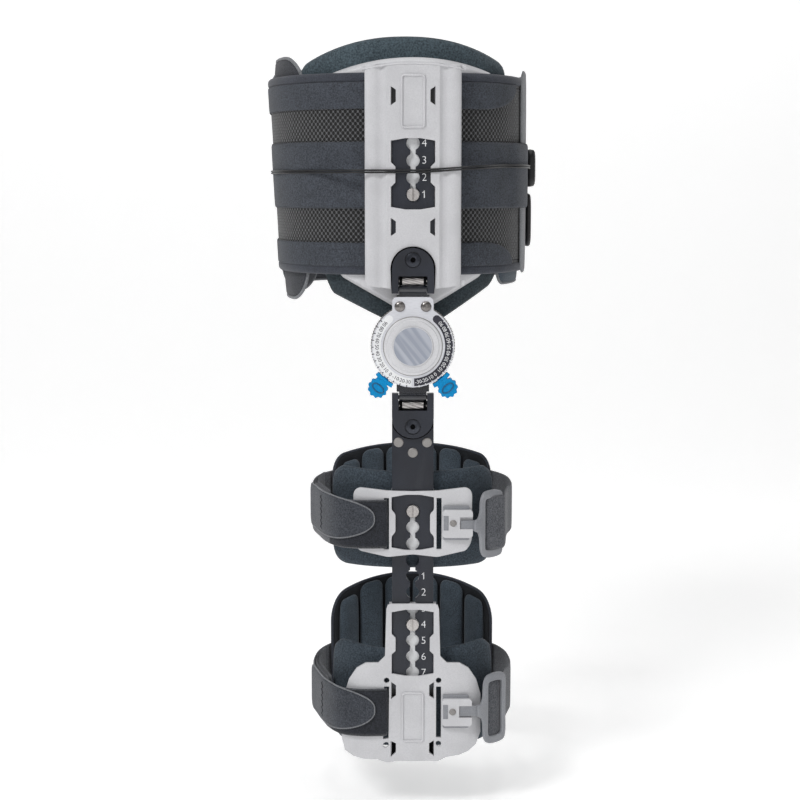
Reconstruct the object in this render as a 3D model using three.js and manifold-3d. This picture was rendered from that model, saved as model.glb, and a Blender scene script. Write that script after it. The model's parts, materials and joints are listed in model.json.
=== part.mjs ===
// Hip brace: a waist belt with a side shell, a dial hinge and a thigh bar that carries two cuffs.
// Millimetres. X runs to the wearer's back, Y into the body and Z up. The origin lies in the waist opening,
// half way up the belt and in line with the bar.
import * as THREE from 'three';
import { mergeVertices } from 'three/addons/utils/BufferGeometryUtils.js';
import Module from 'manifold-3d';

const wasm = await Module();
wasm.setup();

// Driving dimensions: clearances and the numbered holes
const GAP = 0.3;
const RUN = 0.4;
const PAST = 2;
const DIVISIONS = 40;
const CORNER_SHARES = [0, 0.06, 0.25, 0.6, 1];
const HOLE = { pitch: 14.4, radius: 5.7, neck: 4.4, upperCount: 4, thighCount: 11 };
const STUD = { neck: 1.7, head: 5.5, slit: 0.9, slitDepth: 0.8, proud: 1.5 };

// Driving dimensions: the waist belt and what is sewn on it
const WAIST = { belly: 134.5, back: 106.5, side: 140, roundness: 2.4, middle: 0 };
const BELT = { wall: 4, bottom: -87, top: 84.5 };
const BAND_THICKNESS = 1.6;
const BAND_TOP = { bottom: 54, top: 77, bottomAtEnd: 75.5, topAtEnd: 77, endX: 97, endLength: 36 };
const BAND_MID = { bottom: -30.5, top: 26.5, riseFromX: 86 };
const BAND_LOW = { bottom: -80, top: -59.5, bottomAtEnd: -80, topAtEnd: -78.5, endX: 95, endLength: 34 };
const FRONT_PANEL = { endX: -101, bottom: -118, top: 110, thickness: 6, cornerLength: 52, cornerHeight: 44 };
const CLOSURE_FLAP = { length: 190, start: 22, bottom: -109, top: 101, thickness: 2.5, corner: 34 };
const REAR_PANEL = { endX: 99, bottom: -89, top: 91, thickness: 2.2, corner: 10 };
const LUMBAR_PAD = { endX: 84, bottom: -97, top: 76, thickness: 5, corner: 12 };
const PULLEY_UPPER = { bottom: -12, top: 23, start: 5, end: 55, depth: 8.3, corner: 9 };
const PULLEY_LOWER = { bottom: -68, top: -18, start: 8, end: 52, depth: 4.8, corner: 9 };
const CORD = {
  radius: 0.8, sides: 8, steps: 30, spread: 2.2, z: 4, lift: 2,
  fromBack: [-20, -55, -90],
  onSleeve: [52, 28, 0, -28, -52],
  nearX: [-90, -118, -130],
  farTurns: [0.5, 0.44, 0.38, 0.31, 0.25, 0.19, 0.13],
};

// Driving dimensions: the side shell, its foam and the sleeve of the upper bar
const SHELL = { reach: 72, thickness: 2.6, peak: 97.4, fall: 13.2, fallAt: 66, tip: -122, vSlope: 0.69,
  vCornerX: 58.6, vCornerZ: -90 };
const FOAM = { belly: -96, back: 82, thickness: 8, peak: 115.2, peakX: -7, fall: 33, fallAt: 90, tip: -134,
  vSlope: 0.68, vCornerX: 71.5, vCornerZ: -91 };
const CHANNEL = {
  halfWidth: 41, lip: 3.2, lipHeight: 4, bottom: -95.3, bottomMiddle: -99.5, top: 89.8, topMiddle: 92.3,
  depth: 8.2, cavityTop: 38, notchClear: 1,
  section: [
    { x: 25, behindFront: 0 },
    { x: 26, behindFront: 1.6 },
    { x: 28, behindFront: 1.6 },
    { x: 29, behindFront: 0.7 },
    { x: 37, behindFront: 0.9 },
    { x: 40, behindFront: 2.4 },
    { x: 41, behindFront: 4.6 },
    { x: 44.2, behindFront: 5 },
  ],
  vents: [{ bottom: 56.5, top: 72.5 }, { bottom: -53.5, top: -38 }],
};
const CHANNEL_WINDOW = { windowBottom: -28.8, windowTop: 26.9, bulge: 2.4, half: 18.8, tabHalf: 15,
  tabBottom: -12, tabTop: 9 };
const CHANNEL_FRAME = { half: 10.1, bottom: 37.6, top: 82, rim: 1, proud: 0.6 };

// Driving dimensions: the bars, the clevises and the dial
const BAR = { half: 18, thickness: 4, middle: -146, top: 36, bottom: -452, corner: 5 };
const CLEVIS = { front: -152.8, back: -143.2, plateBack: -148.3, arm: 5.7, tip: 3.4, floor: 1.6,
  axisToRoller: 7.2, axisToBlockEnd: 16, axisToScrew: 25.2, axisToCentre: 17.4 };
const KNUCKLE = { y: -148, radius: 3.4, pin: 1.8, half: 11.9, upperZ: -98.8, lowerZ: -191.6 };
const ROLLER = { radius: 3.2, half: 9.2, shaft: 1.2, y: -149 };
const SCREW = { head: 6.7, headDepth: 1.6, shank: 2.5, socket: 1.9, socketDepth: 1.2 };
const DIAL = { z: -147.4, radius: 35.5, front: -152, back: -149.5, earHalf: 17.7, earTop: -105.2,
  earCorner: 4 };
const DIAL_BACK = { front: -145.5, back: -143.5, radius: 36.2, hub: 6 };
const DIAL_CAP = { radius: 25, step: 22.5, edge: 0.6, depth: 2 };
const DIAL_LABEL = { radius: 16.7, edge: 0.3, depth: 0.6 };
const TONGUE = { front: -149.2, back: -145.8, half: 14, shoulder: 4.8, upperEnd: -118, disc: 28.5, fan: 34.5,
  fanAngle: 34 };
const STOP = { angle: 39.8, pinHalf: 2.6, pinFrom: 30, flangeFrom: 36.8, flangeTo: 40.2, flangeAngle: 12.5,
  neckHalf: 5, neckInset: 0.5, knobFrom: 44.5, knobTo: 54, knob: 9, scallop: 0.7, scallops: 10, bevel: 1.5 };
const DIAL_RIVET = { x: 11.2, z: -113.3, head: 4.6, dome: 2, shank: 2 };
const BAR_RIVET = { sideX: 12.3, sideZ: -231, lowZ: -240, head: 4.3, dome: 0.8, shank: 2 };

// Driving dimensions: the cuffs round the thigh
const THIGH = { belly: 89, back: 89, side: 90, roundness: 2.3, middle: -52 };
const CUFF = { front: -150.5, back: -142.4, wing: 2.6, sleeveHalf: 20.4, flatTo: 36, bend: 0.012, tabHalf: 15,
  slotFrom: 20.6, slotTo: 25 };
const PAD_THICKNESS = 9;
const REAR_PAD = { base: 4.5, rib: 4.5, ribs: 6, stepsPerRib: 4, fullness: 0.6 };
const STRAP = {
  thickness: 2.2, half: 21.5, joinX: 83, endBend: 18, loopPoints: 17, ringLift: 1, ringDip: 5.5,
  front: [
    { x: -74, y: -128 },
    { x: -62, y: -146.5 },
    { x: -47, y: -152.6 },
    { x: -30, y: -152.5 },
    { x: -24, y: -152 },
    { x: -22.5, y: -149 },
  ],
};
const TAB = { thickness: 2, shortBy: 13, length: 150, round: 34, tipShare: 0.3 };
const RING = { turn: 40, length: 27, bar: 6, rail: 6.5, thickness: 3.2, corner: 7, tongueHalf: 4.6,
  tongueFrom: 41.5, y: -154.4, tongueDepth: 2.1 };
const LATCH = { left: 25.8, right: 52, front: -156, lowerHalf: 13, upperHalf: 11.5, recess: 5.2, corner: 3,
  pocketFrom: 1.5, pocketTo: 4.5, pocketHalf: 5.5, pocketDepth: 2 };
const LATCH_RIVET = { x: 35, head: 3, dome: 0.9, shank: 1.2, shankEnd: -152.3 };
const UPPER_CUFF = {
  name: 'upper', studZ: -291.4, cavityEnd: -340, windowTop: -278.7, windowBottom: -323.1, bulge: 2.5,
  tabTop: -290, tabBottom: -313, slotTop: -279.4, slotBottom: -324.6, latchZ: -300.5, ringZ: -302.8,
  ringX: 57.5, ringHalf: 29.4, strapZ: -302, tabZ: -297, tabHalf: 19,
  plate: [
    { x: 0, top: -273.5, bottom: -329 },
    { x: 21.5, top: -273, bottom: -331.4 },
    { x: 46, top: -270.2, bottom: -326 },
    { x: 50, top: -272.5, bottom: -321 },
    { x: 51.5, top: -276, bottom: -316 },
  ],
  pad: { endX: 73, top: -258, earTop: -254, bottom: -343.5, corner: 18 },
  rearPad: { endX: 76, top: -259, sideTop: -268, bottom: -341, corner: 16 },
};
const LOWER_CUFF = {
  name: 'lower', studZ: -392.2, cavityEnd: -458, windowTop: -380.5, windowBottom: -435.5, bulge: 2.5,
  tabTop: -400, tabBottom: -418.5, slotTop: -447.2, slotBottom: -492.8, latchZ: -468.5, ringZ: -467.7,
  ringX: 61, ringHalf: 31.3, strapZ: -470, tabZ: -467, tabHalf: 20,
  plate: [
    { x: 0, top: -372.8, bottom: -515 },
    { x: 21.6, top: -374, bottom: -514.5 },
    { x: 23, top: -378, bottom: -514 },
    { x: 24.2, top: -420, bottom: -513.4 },
    { x: 30, top: -425.8, bottom: -510 },
    { x: 41, top: -426, bottom: -507.5 },
    { x: 49, top: -431, bottom: -504 },
    { x: 56, top: -442, bottom: -498 },
    { x: 60, top: -456, bottom: -488 },
  ],
  pad: { endX: 73, top: -417, earTop: -410, bottom: -505, corner: 18 },
  rearPad: { endX: 78, top: -387, sideTop: -404, bottom: -500, corner: 22 },
  vents: [{ bottom: -458.5, top: -443 }, { bottom: -510, top: -495.5 }],
};
const LOWER_FRAME = { half: 9.5, bottom: -497, top: -452.5, rim: 1, proud: 0.6 };
const VENT = { inner: 14.6, outer: 18.9, slant: 3, depth: 4 };
const SLOT_EYE = { radius: 2.6, beyond: 5.5 };

// Finishes
const finish = (color, roughness, metalness = 0) =>
  new THREE.MeshStandardMaterial({ color, roughness, metalness });
const WHITE_PLASTIC = finish('#cfd0d3', 0.45);
const BLACK_METAL = finish('#2e3038', 0.42, 0.6);
const STEEL = finish('#cfcac8', 0.3, 0.9);
const ALUMINIUM = finish('#d9dadd', 0.35, 0.8);
const BLUE_PLASTIC = finish('#16a0e6', 0.4);
const GREY_PLASTIC = finish('#85868c', 0.5);
const BLACK_PLASTIC = finish('#1b1c20', 0.5);
const LABEL_FILM = finish('#b3b8c2', 0.25);
const SPACER_MESH = finish('#5c5d60', 0.9);
const LOOP_CLOTH = finish('#4b4d56', 0.95);
const PANEL_CLOTH = finish('#3f4147', 0.9);
const FOAM_CLOTH = finish('#3a464c', 0.95);
const NAVY_CLOTH = finish('#26303a', 0.9);
const WEBBING = finish('#6b6c72', 0.9);

// Solids from geometries, and back
function toSolid(geometry) {
  geometry.deleteAttribute('normal');
  geometry.deleteAttribute('uv');
  const merged = mergeVertices(geometry);
  return new wasm.Manifold(new wasm.Mesh({
    numProp: 3,
    vertProperties: merged.attributes.position.array,
    triVerts: new Uint32Array(merged.index.array),
  }));
}

function toGeometry(solid) {
  const mesh = solid.getMesh();
  const geometry = new THREE.BufferGeometry();
  geometry.setAttribute('position', new THREE.BufferAttribute(mesh.vertProperties, 3));
  geometry.setIndex(new THREE.BufferAttribute(mesh.triVerts, 1));
  geometry.computeVertexNormals();
  return geometry;
}

const join = (...solids) => solids.reduce((whole, solid) => whole.add(solid));
const cut = (solid, ...tools) => tools.reduce((rest, tool) => rest.subtract(tool), solid);
const mirrored = (makeSide) => join(makeSide(-1), makeSide(1));

// A box between two limits on each axis
function box([x0, x1], [y0, y1], [z0, z1]) {
  const geometry = new THREE.BoxGeometry(x1 - x0, y1 - y0, z1 - z0);
  return toSolid(geometry.translate((x0 + x1) / 2, (y0 + y1) / 2, (z0 + z1) / 2));
}

// A round rod through the thickness, along Y
function rod(radius, [y0, y1], x, z, sides = 12) {
  return toSolid(new THREE.CylinderGeometry(radius, radius, y1 - y0, sides).translate(x, (y0 + y1) / 2, z));
}

// A round rod across the bar, along X
function crossRod(radius, half, y, z, sides = 12) {
  const geometry = new THREE.CylinderGeometry(radius, radius, 2 * half, sides).rotateZ(Math.PI / 2);
  return toSolid(geometry.translate(0, y, z));
}

// A turned piece on an axis along Y: each profile point is a radius and a y
function turned(profile, x, z, sides = 32) {
  const points = profile.map(([radius, y]) => new THREE.Vector2(radius, y));
  return toSolid(new THREE.LatheGeometry(points, sides).translate(x, 0, z));
}

// A flat plate: an outline in X and Z with a thickness in Y
function plateGeometry(shape, [y0, y1]) {
  const geometry = new THREE.ExtrudeGeometry(shape, { depth: y1 - y0, bevelEnabled: false, curveSegments: 3 });
  return geometry.rotateX(Math.PI / 2).translate(0, y1, 0);
}

const plate = (shape, depth) => toSolid(plateGeometry(shape, depth));

function outline(points) {
  return new THREE.Shape(points.map(([x, z]) => new THREE.Vector2(x, z)));
}

function roundedRect([x0, x1], [z0, z1], corner) {
  const shape = new THREE.Shape();
  shape.absarc(x1 - corner, z0 + corner, corner, -Math.PI / 2, 0);
  shape.absarc(x1 - corner, z1 - corner, corner, 0, Math.PI / 2);
  shape.absarc(x0 + corner, z1 - corner, corner, Math.PI / 2, Math.PI);
  shape.absarc(x0 + corner, z0 + corner, corner, Math.PI, Math.PI * 1.5);
  return shape;
}

// A loop seen from above, a rounded oval that starts at the back and turns by way of the far side
class Loop extends THREE.Curve {
  constructor(size) {
    super();
    Object.assign(this, size);
  }

  getPoint(turn, target = new THREE.Vector3()) {
    const across = Math.cos(2 * Math.PI * turn);
    const deep = Math.sin(2 * Math.PI * turn);
    const reach = across < 0 ? this.belly : this.back;
    const power = 2 / this.roundness;
    const x = Math.sign(across) * reach * Math.abs(across) ** power;
    const y = Math.sign(deep) * this.side * Math.abs(deep) ** power;
    return target.set(x, this.middle + y, 0);
  }
}

// The place along a loop, as a share of its length, where its near half passes x
function nearAt(loop, x) {
  let low = 0.5;
  let high = 1;
  for (let halving = 0; halving < 30; halving++) {
    const middle = (low + high) / 2;
    if (loop.getPointAt(middle).x < x) low = middle;
    else high = middle;
  }
  return low;
}

// The point of a curve's plan at a place of its length, moved out from it
function offsetPoint(curve, place, out) {
  const along = curve instanceof Loop ? place - Math.floor(place) : THREE.MathUtils.clamp(place, 0, 1);
  const point = curve.getPointAt(along);
  const tangent = curve.getTangentAt(along);
  return new THREE.Vector2(point.x + tangent.y * out, point.y - tangent.x * out);
}

// The same, but on a loop's facets, which all its walls share so that the gaps between them stay even
function beside(curve, place, out) {
  if (!(curve instanceof Loop)) return offsetPoint(curve, place, out);
  const step = Math.floor(place * DIVISIONS);
  const start = offsetPoint(curve, step / DIVISIONS, out);
  return start.lerp(offsetPoint(curve, (step + 1) / DIVISIONS, out), place * DIVISIONS - step);
}

// A wall bent from a block of unit size. place(i, v, w) moves the corners of step i: v is up and w outward.
function bentBlock(steps, place, closed) {
  const geometry = new THREE.BoxGeometry(1, 1, 1, steps, 1, 1);
  const position = geometry.attributes.position;
  for (let i = 0; i < position.count; i++) {
    const step = Math.round((position.getX(i) + 0.5) * steps);
    const { x, y, z } = place(step, position.getY(i) + 0.5, position.getZ(i) + 0.5);
    position.setXYZ(i, x, y, z);
  }
  if (closed) {
    const endFaces = geometry.groups[0].count + geometry.groups[1].count;
    geometry.setIndex([...geometry.index.array.slice(endFaces)]);
  }
  return toSolid(geometry);
}

// The places where a wall is divided: even ones, which its neighbours share, and closer ones at rounded ends
function divide(curve, from, to, round) {
  const places = CORNER_SHARES.flatMap((share) => {
    const reach = (share * round) / curve.getLength();
    return [from + reach, to - reach];
  });
  for (let i = Math.ceil(from * DIVISIONS); i <= to * DIVISIONS; i++) places.push(i / DIVISIONS);
  places.sort((a, b) => a - b);
  return places.filter((place, i) => i === 0 || place - places[i - 1] > 1e-4);
}

// A wall along a curve between two places of its length. Each of inner, outer, bottom and top is a number or a
// function of the spot: its x, its share of the way, and its distance from the last end and the nearer end.
function wall(curve, { from = 0, to = 1, round = 0, places, inner, outer, bottom, top }) {
  const length = curve.getLength();
  const stations = places ?? divide(curve, from, to, round);
  const value = (rule, spot) => (typeof rule === 'function' ? rule(spot) : rule);
  return bentBlock(stations.length - 1, (i, v, w) => {
    const place = stations[i];
    const last = (to - place) * length;
    const end = Math.min((place - from) * length, last);
    const spot = { x: beside(curve, place, 0).x, share: (place - from) / (to - from), last, end };
    const out = THREE.MathUtils.lerp(value(inner, spot), value(outer, spot), w);
    const z = THREE.MathUtils.lerp(value(bottom, spot), value(top, spot), v);
    const { x, y } = beside(curve, place, out);
    return { x, y, z };
  }, curve instanceof Loop && to - from === 1);
}

// The share of full height at a distance from a rounded end
function rounding(end, length) {
  const rest = Math.max(0, 1 - end / length);
  return Math.sqrt(1 - rest * rest);
}

// Edges that round off a wall's corners
function roundCorners({ bottom, top, length, height }) {
  return {
    bottom: ({ end }) => bottom + height * (1 - rounding(end, length)),
    top: ({ end }) => top - height * (1 - rounding(end, length)),
  };
}

const waist = new Loop(WAIST);
const thigh = new Loop(THIGH);
const girth = waist.getLength();

// Waist belt and its bands
const bandOuter = GAP + BAND_THICKNESS;
const panelOuter = GAP + REAR_PANEL.thickness;
const overPanel = panelOuter + GAP + BAND_THICKNESS;

function pelvicBelt() {
  return wall(waist, { inner: -BELT.wall, outer: 0, bottom: BELT.bottom, top: BELT.top });
}

function endedBand(band) {
  const near = nearAt(waist, band.endX);
  const edge = (full, atEnd) => ({ end }) => THREE.MathUtils.lerp(atEnd, full, rounding(end, band.endLength));
  return wall(waist, {
    from: 1 - near, to: near, round: band.endLength, inner: GAP, outer: bandOuter,
    bottom: edge(band.bottom, band.bottomAtEnd), top: edge(band.top, band.topAtEnd),
  });
}

// The middle band goes all the way round and rises over the rear panel
function middleBand() {
  const rise = (x) => THREE.MathUtils.smoothstep(x, BAND_MID.riseFromX, REAR_PANEL.endX - 3) * panelOuter;
  return wall(waist, {
    inner: ({ x }) => GAP + rise(x), outer: ({ x }) => bandOuter + rise(x),
    bottom: BAND_MID.bottom, top: BAND_MID.top,
  });
}

function frontPanel() {
  const near = nearAt(waist, FRONT_PANEL.endX);
  return wall(waist, {
    from: 1 - near, to: near, round: FRONT_PANEL.cornerLength,
    inner: -BELT.wall - GAP - FRONT_PANEL.thickness, outer: -BELT.wall - GAP,
    ...roundCorners({ ...FRONT_PANEL, length: FRONT_PANEL.cornerLength, height: FRONT_PANEL.cornerHeight }),
  });
}

function closureFlap() {
  const nearEnd = 0.5 + CLOSURE_FLAP.start / girth;
  return wall(waist, {
    from: nearEnd - CLOSURE_FLAP.length / girth, to: nearEnd, round: CLOSURE_FLAP.corner,
    inner: bandOuter + GAP, outer: bandOuter + GAP + CLOSURE_FLAP.thickness,
    ...roundCorners({ ...CLOSURE_FLAP, length: CLOSURE_FLAP.corner, height: CLOSURE_FLAP.corner }),
  });
}

function backWall(size, inner, outer) {
  const near = nearAt(waist, size.endX);
  return wall(waist, {
    from: near - 1, to: 1 - near, round: size.corner, inner, outer,
    ...roundCorners({ ...size, length: size.corner, height: size.corner }),
  });
}

function lumbarPad() {
  const outer = -BELT.wall - GAP;
  return backWall(LUMBAR_PAD, outer - LUMBAR_PAD.thickness, outer);
}

function pulley(size) {
  return wall(waist, {
    from: size.start / girth, to: size.end / girth, round: size.corner,
    inner: overPanel + GAP, outer: overPanel + GAP + size.depth,
    ...roundCorners({ ...size, length: size.corner, height: size.corner }),
  });
}

// The cord's route: from the upper pulley along the near side, over the sleeve, round the belly and back
const channelBack = -WAIST.side - bandOuter - GAP;
const channelFront = channelBack - CHANNEL.depth;

function cordRoute(z) {
  const out = overPanel + GAP + CORD.radius + CORD.lift;
  const atPulley = overPanel + PULLEY_UPPER.depth / 2;
  const fromBack = (distance, reach) => beside(waist, 1 + distance / girth, reach);
  const plan = [
    fromBack(PULLEY_UPPER.start - GAP, atPulley),
    ...CORD.fromBack.map((distance) => fromBack(distance, out)),
    ...CORD.onSleeve.map((x) => ({ x, y: channelFront - GAP - CORD.radius })),
    ...CORD.nearX.map((x) => beside(waist, nearAt(waist, x), out)),
    ...CORD.farTurns.map((place) => beside(waist, place, out)),
    fromBack(PULLEY_UPPER.end + GAP, atPulley),
  ];
  return new THREE.CatmullRomCurve3(plan.map(({ x, y }) => new THREE.Vector3(x, y, z)), false, 'centripetal');
}

function cord(z) {
  const section = new THREE.Shape();
  section.absarc(0, 0, CORD.radius, 0, 2 * Math.PI);
  const options = { steps: CORD.steps, curveSegments: CORD.sides / 2, extrudePath: cordRoute(z) };
  return toSolid(new THREE.ExtrudeGeometry(section, options));
}

// Side shell and its foam, both inside the belt
function vEdge({ vCornerX, vCornerZ, vSlope, tip }) {
  return ({ x }) => Math.max(tip, vCornerZ - vSlope * (vCornerX - Math.abs(x)));
}

function pelvicShell() {
  const outer = -BELT.wall - GAP;
  return wall(waist, {
    from: nearAt(waist, -SHELL.reach), to: nearAt(waist, SHELL.reach),
    inner: outer - SHELL.thickness, outer,
    bottom: vEdge(SHELL), top: ({ x }) => SHELL.peak - SHELL.fall * (x / SHELL.fallAt) ** 2,
  });
}

function shellFoam() {
  const outer = -BELT.wall - SHELL.thickness - 2 * GAP;
  return wall(waist, {
    from: nearAt(waist, FOAM.belly), to: nearAt(waist, FOAM.back),
    inner: outer - FOAM.thickness, outer,
    bottom: vEdge(FOAM),
    top: ({ x }) => FOAM.peak - FOAM.fall * (Math.abs(x - FOAM.peakX) / FOAM.fallAt) ** 2.5,
  });
}

// Windows, vents and frames that the sleeve and the cuff plates share
function windowCut({ windowTop, windowBottom, bulge, half, tabHalf, tabTop, tabBottom }, depth) {
  const shape = new THREE.Shape();
  shape.moveTo(-half, windowBottom);
  shape.quadraticCurveTo(0, windowBottom - 2 * bulge, half, windowBottom);
  shape.lineTo(half, tabBottom);
  shape.lineTo(tabHalf, tabBottom + half - tabHalf);
  shape.lineTo(tabHalf, tabTop - half + tabHalf);
  shape.lineTo(half, tabTop);
  shape.lineTo(half, windowTop);
  shape.quadraticCurveTo(0, windowTop + 2 * bulge, -half, windowTop);
  shape.lineTo(-half, tabTop);
  shape.lineTo(-tabHalf, tabTop - half + tabHalf);
  shape.lineTo(-tabHalf, tabBottom + half - tabHalf);
  shape.lineTo(-half, tabBottom);
  return plate(shape, depth);
}

function ventCuts(vents, front) {
  return join(...vents.map(({ bottom, top }) => mirrored((side) => plate(outline([
    [side * VENT.inner, bottom + VENT.slant],
    [side * VENT.outer, bottom],
    [side * VENT.outer, top],
    [side * VENT.inner, top - VENT.slant],
  ]), [front - PAST, front + VENT.depth]))));
}

function raisedFrame({ half, bottom, top, rim, proud }, front) {
  const depth = [front - proud, front + proud];
  const inside = box([rim - half, half - rim], depth, [bottom + rim, top - rim]);
  return cut(box([-half, half], depth, [bottom, top]), inside);
}

const barFront = BAR.middle - BAR.thickness / 2;
const barBack = BAR.middle + BAR.thickness / 2;
const cavity = [barFront - RUN, barBack + RUN];
const cavityHalf = BAR.half + RUN;
const upperHoleZ = -18.4;
const clevisCentreZ = KNUCKLE.upperZ + CLEVIS.axisToCentre;

// The sleeve: a section with grooved shoulders, trimmed to its front outline
function channelPlate() {
  const { halfWidth, bottom, bottomMiddle, top, topMiddle, lip, lipHeight, cavityTop, notchClear } = CHANNEL;
  const wide = halfWidth + lip;
  const half = CHANNEL.section.map(({ x, behindFront }) => [x, channelFront + behindFront]);
  half.push([wide, channelBack]);
  const section = outline([...half, ...half.map(([x, y]) => [-x, y]).reverse()]);
  const beam = new THREE.ExtrudeGeometry(section, { depth: topMiddle - bottomMiddle, bevelEnabled: false });
  const face = new THREE.Shape();
  face.moveTo(-wide, bottom);
  face.quadraticCurveTo(0, 2 * bottomMiddle - bottom, wide, bottom);
  face.lineTo(wide, bottom + lipHeight);
  face.lineTo(halfWidth, bottom + lipHeight);
  face.lineTo(halfWidth, top - lipHeight);
  face.lineTo(wide, top - lipHeight);
  face.lineTo(wide, top);
  face.quadraticCurveTo(0, 2 * topMiddle - top, -wide, top);
  face.lineTo(-wide, top - lipHeight);
  face.lineTo(-halfWidth, top - lipHeight);
  face.lineTo(-halfWidth, bottom + lipHeight);
  face.lineTo(-wide, bottom + lipHeight);
  const through = [channelFront - PAST, channelBack + PAST];
  const trimmed = toSolid(beam.translate(0, 0, bottomMiddle)).intersect(plate(face, through));
  const notch = BAR.half + notchClear;
  const below = bottomMiddle - PAST;
  return join(
    cut(
      trimmed,
      box([-cavityHalf, cavityHalf], cavity, [below, cavityTop]),
      rod(notch, through, 0, clevisCentreZ, 24),
      box([-notch, notch], through, [below, clevisCentreZ]),
      windowCut(CHANNEL_WINDOW, [channelFront - PAST, BAR.middle]),
      ventCuts(CHANNEL.vents, channelFront),
    ),
    raisedFrame(CHANNEL_FRAME, channelFront),
  );
}

// A lock stud: a neck that runs in the slot between the holes and a slit head in front of the bar
function lockStud(z) {
  const { neck, head, slit, slitDepth, proud } = STUD;
  const headFront = barFront - GAP - proud;
  const stud = join(
    rod(neck, [headFront + slitDepth, cavity[1] - GAP], 0, z, 8),
    rod(head, [headFront, barFront - GAP], 0, z),
  );
  const slitDeep = [headFront - PAST, headFront + slitDepth];
  return cut(stud, box([-slit / 2, slit / 2], slitDeep, [z - 2 * head, z + 2 * head]));
}

// Places where the bars are pierced, through and through
const throughBar = [barFront - PAST, barBack + PAST];

// A row of holes joined by narrow necks
function holeRow(firstZ, count) {
  const lastZ = firstZ - (count - 1) * HOLE.pitch;
  const slot = box([-HOLE.neck / 2, HOLE.neck / 2], throughBar, [lastZ, firstZ]);
  const holes = Array.from({ length: count }, (_, i) =>
    rod(HOLE.radius, throughBar, 0, firstZ - i * HOLE.pitch, 10));
  return join(slot, ...holes);
}

function barBlank(bottom, top) {
  return plate(roundedRect([-BAR.half, BAR.half], [bottom, top], BAR.corner), [barFront, barBack]);
}

function upperBar() {
  return cut(
    barBlank(KNUCKLE.upperZ + CLEVIS.axisToBlockEnd + GAP, BAR.top),
    holeRow(upperHoleZ + (HOLE.upperCount - 1) * HOLE.pitch, HOLE.upperCount),
    rod(SCREW.shank + GAP, throughBar, 0, KNUCKLE.upperZ + CLEVIS.axisToScrew, 8),
  );
}

// A clevis: a round-ended plate on the bar's face and a block whose two arms hold a knuckle.
// way is 1 where the bar lies above the knuckle and -1 where it lies below.
function clevis(axisZ, way) {
  const at = (distance) => axisZ + way * distance;
  const span = (a, b) => [Math.min(at(a), at(b)), Math.max(at(a), at(b))];
  const { front, back, plateBack, arm, tip, floor } = CLEVIS;
  const { axisToRoller, axisToBlockEnd, axisToScrew, axisToCentre } = CLEVIS;
  const full = [-BAR.half, BAR.half];
  const fork = BAR.half - arm;
  const throatEnd = axisToRoller + ROLLER.radius + 3 * GAP;
  const whole = join(
    box(full, [front, plateBack], span(axisToBlockEnd - PAST, axisToCentre)),
    rod(BAR.half, [front, plateBack], 0, at(axisToCentre), 24),
    box(full, [front, back], span(-tip, axisToBlockEnd)),
  );
  return cut(
    whole,
    box([-fork, fork], [front - PAST, back + PAST], span(-tip - PAST, KNUCKLE.radius + GAP)),
    box([-fork, fork], [front - PAST, back - floor], span(0, throatEnd)),
    crossRod(KNUCKLE.pin + GAP, BAR.half + PAST, KNUCKLE.y, axisZ, 8),
    rod(SCREW.head + GAP, [front - PAST, front + SCREW.headDepth], 0, at(axisToScrew)),
    rod(SCREW.shank + GAP, [front, plateBack + PAST], 0, at(axisToScrew), 8),
  );
}

function roller(axisZ, way) {
  const z = axisZ + way * CLEVIS.axisToRoller;
  const shaftHalf = BAR.half - CLEVIS.arm - GAP;
  const shaft = crossRod(ROLLER.shaft, shaftHalf, ROLLER.y, z, 8);
  return join(crossRod(ROLLER.radius, ROLLER.half, ROLLER.y, z), shaft);
}

function clevisScrew(axisZ, way) {
  const z = axisZ + way * CLEVIS.axisToScrew;
  const headFront = CLEVIS.front - GAP;
  const screw = join(
    rod(SCREW.head, [headFront, CLEVIS.front + SCREW.headDepth - GAP], 0, z),
    rod(SCREW.shank, [CLEVIS.front, barBack], 0, z, 8),
  );
  return cut(screw, rod(SCREW.socket, [headFront - PAST, headFront + SCREW.socketDepth], 0, z, 6));
}

// A knuckle with its pin, between the arms of a clevis
function knuckle(axisZ) {
  return join(
    crossRod(KNUCKLE.radius, KNUCKLE.half, KNUCKLE.y, axisZ),
    crossRod(KNUCKLE.pin, BAR.half - GAP, KNUCKLE.y, axisZ, 8),
  );
}

const tongueDepth = [TONGUE.front, TONGUE.back];
const throughTongue = [TONGUE.front - PAST, TONGUE.back + PAST];
const rivetHoles = (depth) =>
  mirrored((side) => rod(DIAL_RIVET.shank + GAP, depth, side * DIAL_RIVET.x, DIAL_RIVET.z, 8));

function upperTongue() {
  const shoulderZ = KNUCKLE.upperZ - TONGUE.shoulder;
  const tongue = join(
    knuckle(KNUCKLE.upperZ),
    box([-KNUCKLE.half, KNUCKLE.half], tongueDepth, [shoulderZ, KNUCKLE.upperZ]),
    box([-TONGUE.half, TONGUE.half], tongueDepth, [TONGUE.upperEnd, shoulderZ]),
  );
  return cut(tongue, rivetHoles(throughTongue), rod(TONGUE.disc + RUN, throughTongue, 0, DIAL.z, 28));
}

// A dial disc with the ear that is riveted to the upper tongue
function earedDisc(radius, depth) {
  const { earHalf, earTop, earCorner, z } = DIAL;
  const ear = plate(roundedRect([-earHalf, earHalf], [z, earTop], earCorner), depth);
  return cut(join(rod(radius, depth, 0, z, 32), ear), rivetHoles([depth[0] - PAST, depth[1] + PAST]));
}

function dialPlate() {
  return earedDisc(DIAL.radius, [DIAL.front, DIAL.back]);
}

function dialBackPlate() {
  const hub = rod(DIAL_BACK.hub, [DIAL.back + GAP, DIAL_BACK.back], 0, DIAL.z);
  return join(earedDisc(DIAL_BACK.radius, [DIAL_BACK.front, DIAL_BACK.back]), hub);
}

const capFront = DIAL.front - GAP - DIAL_CAP.depth;

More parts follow.
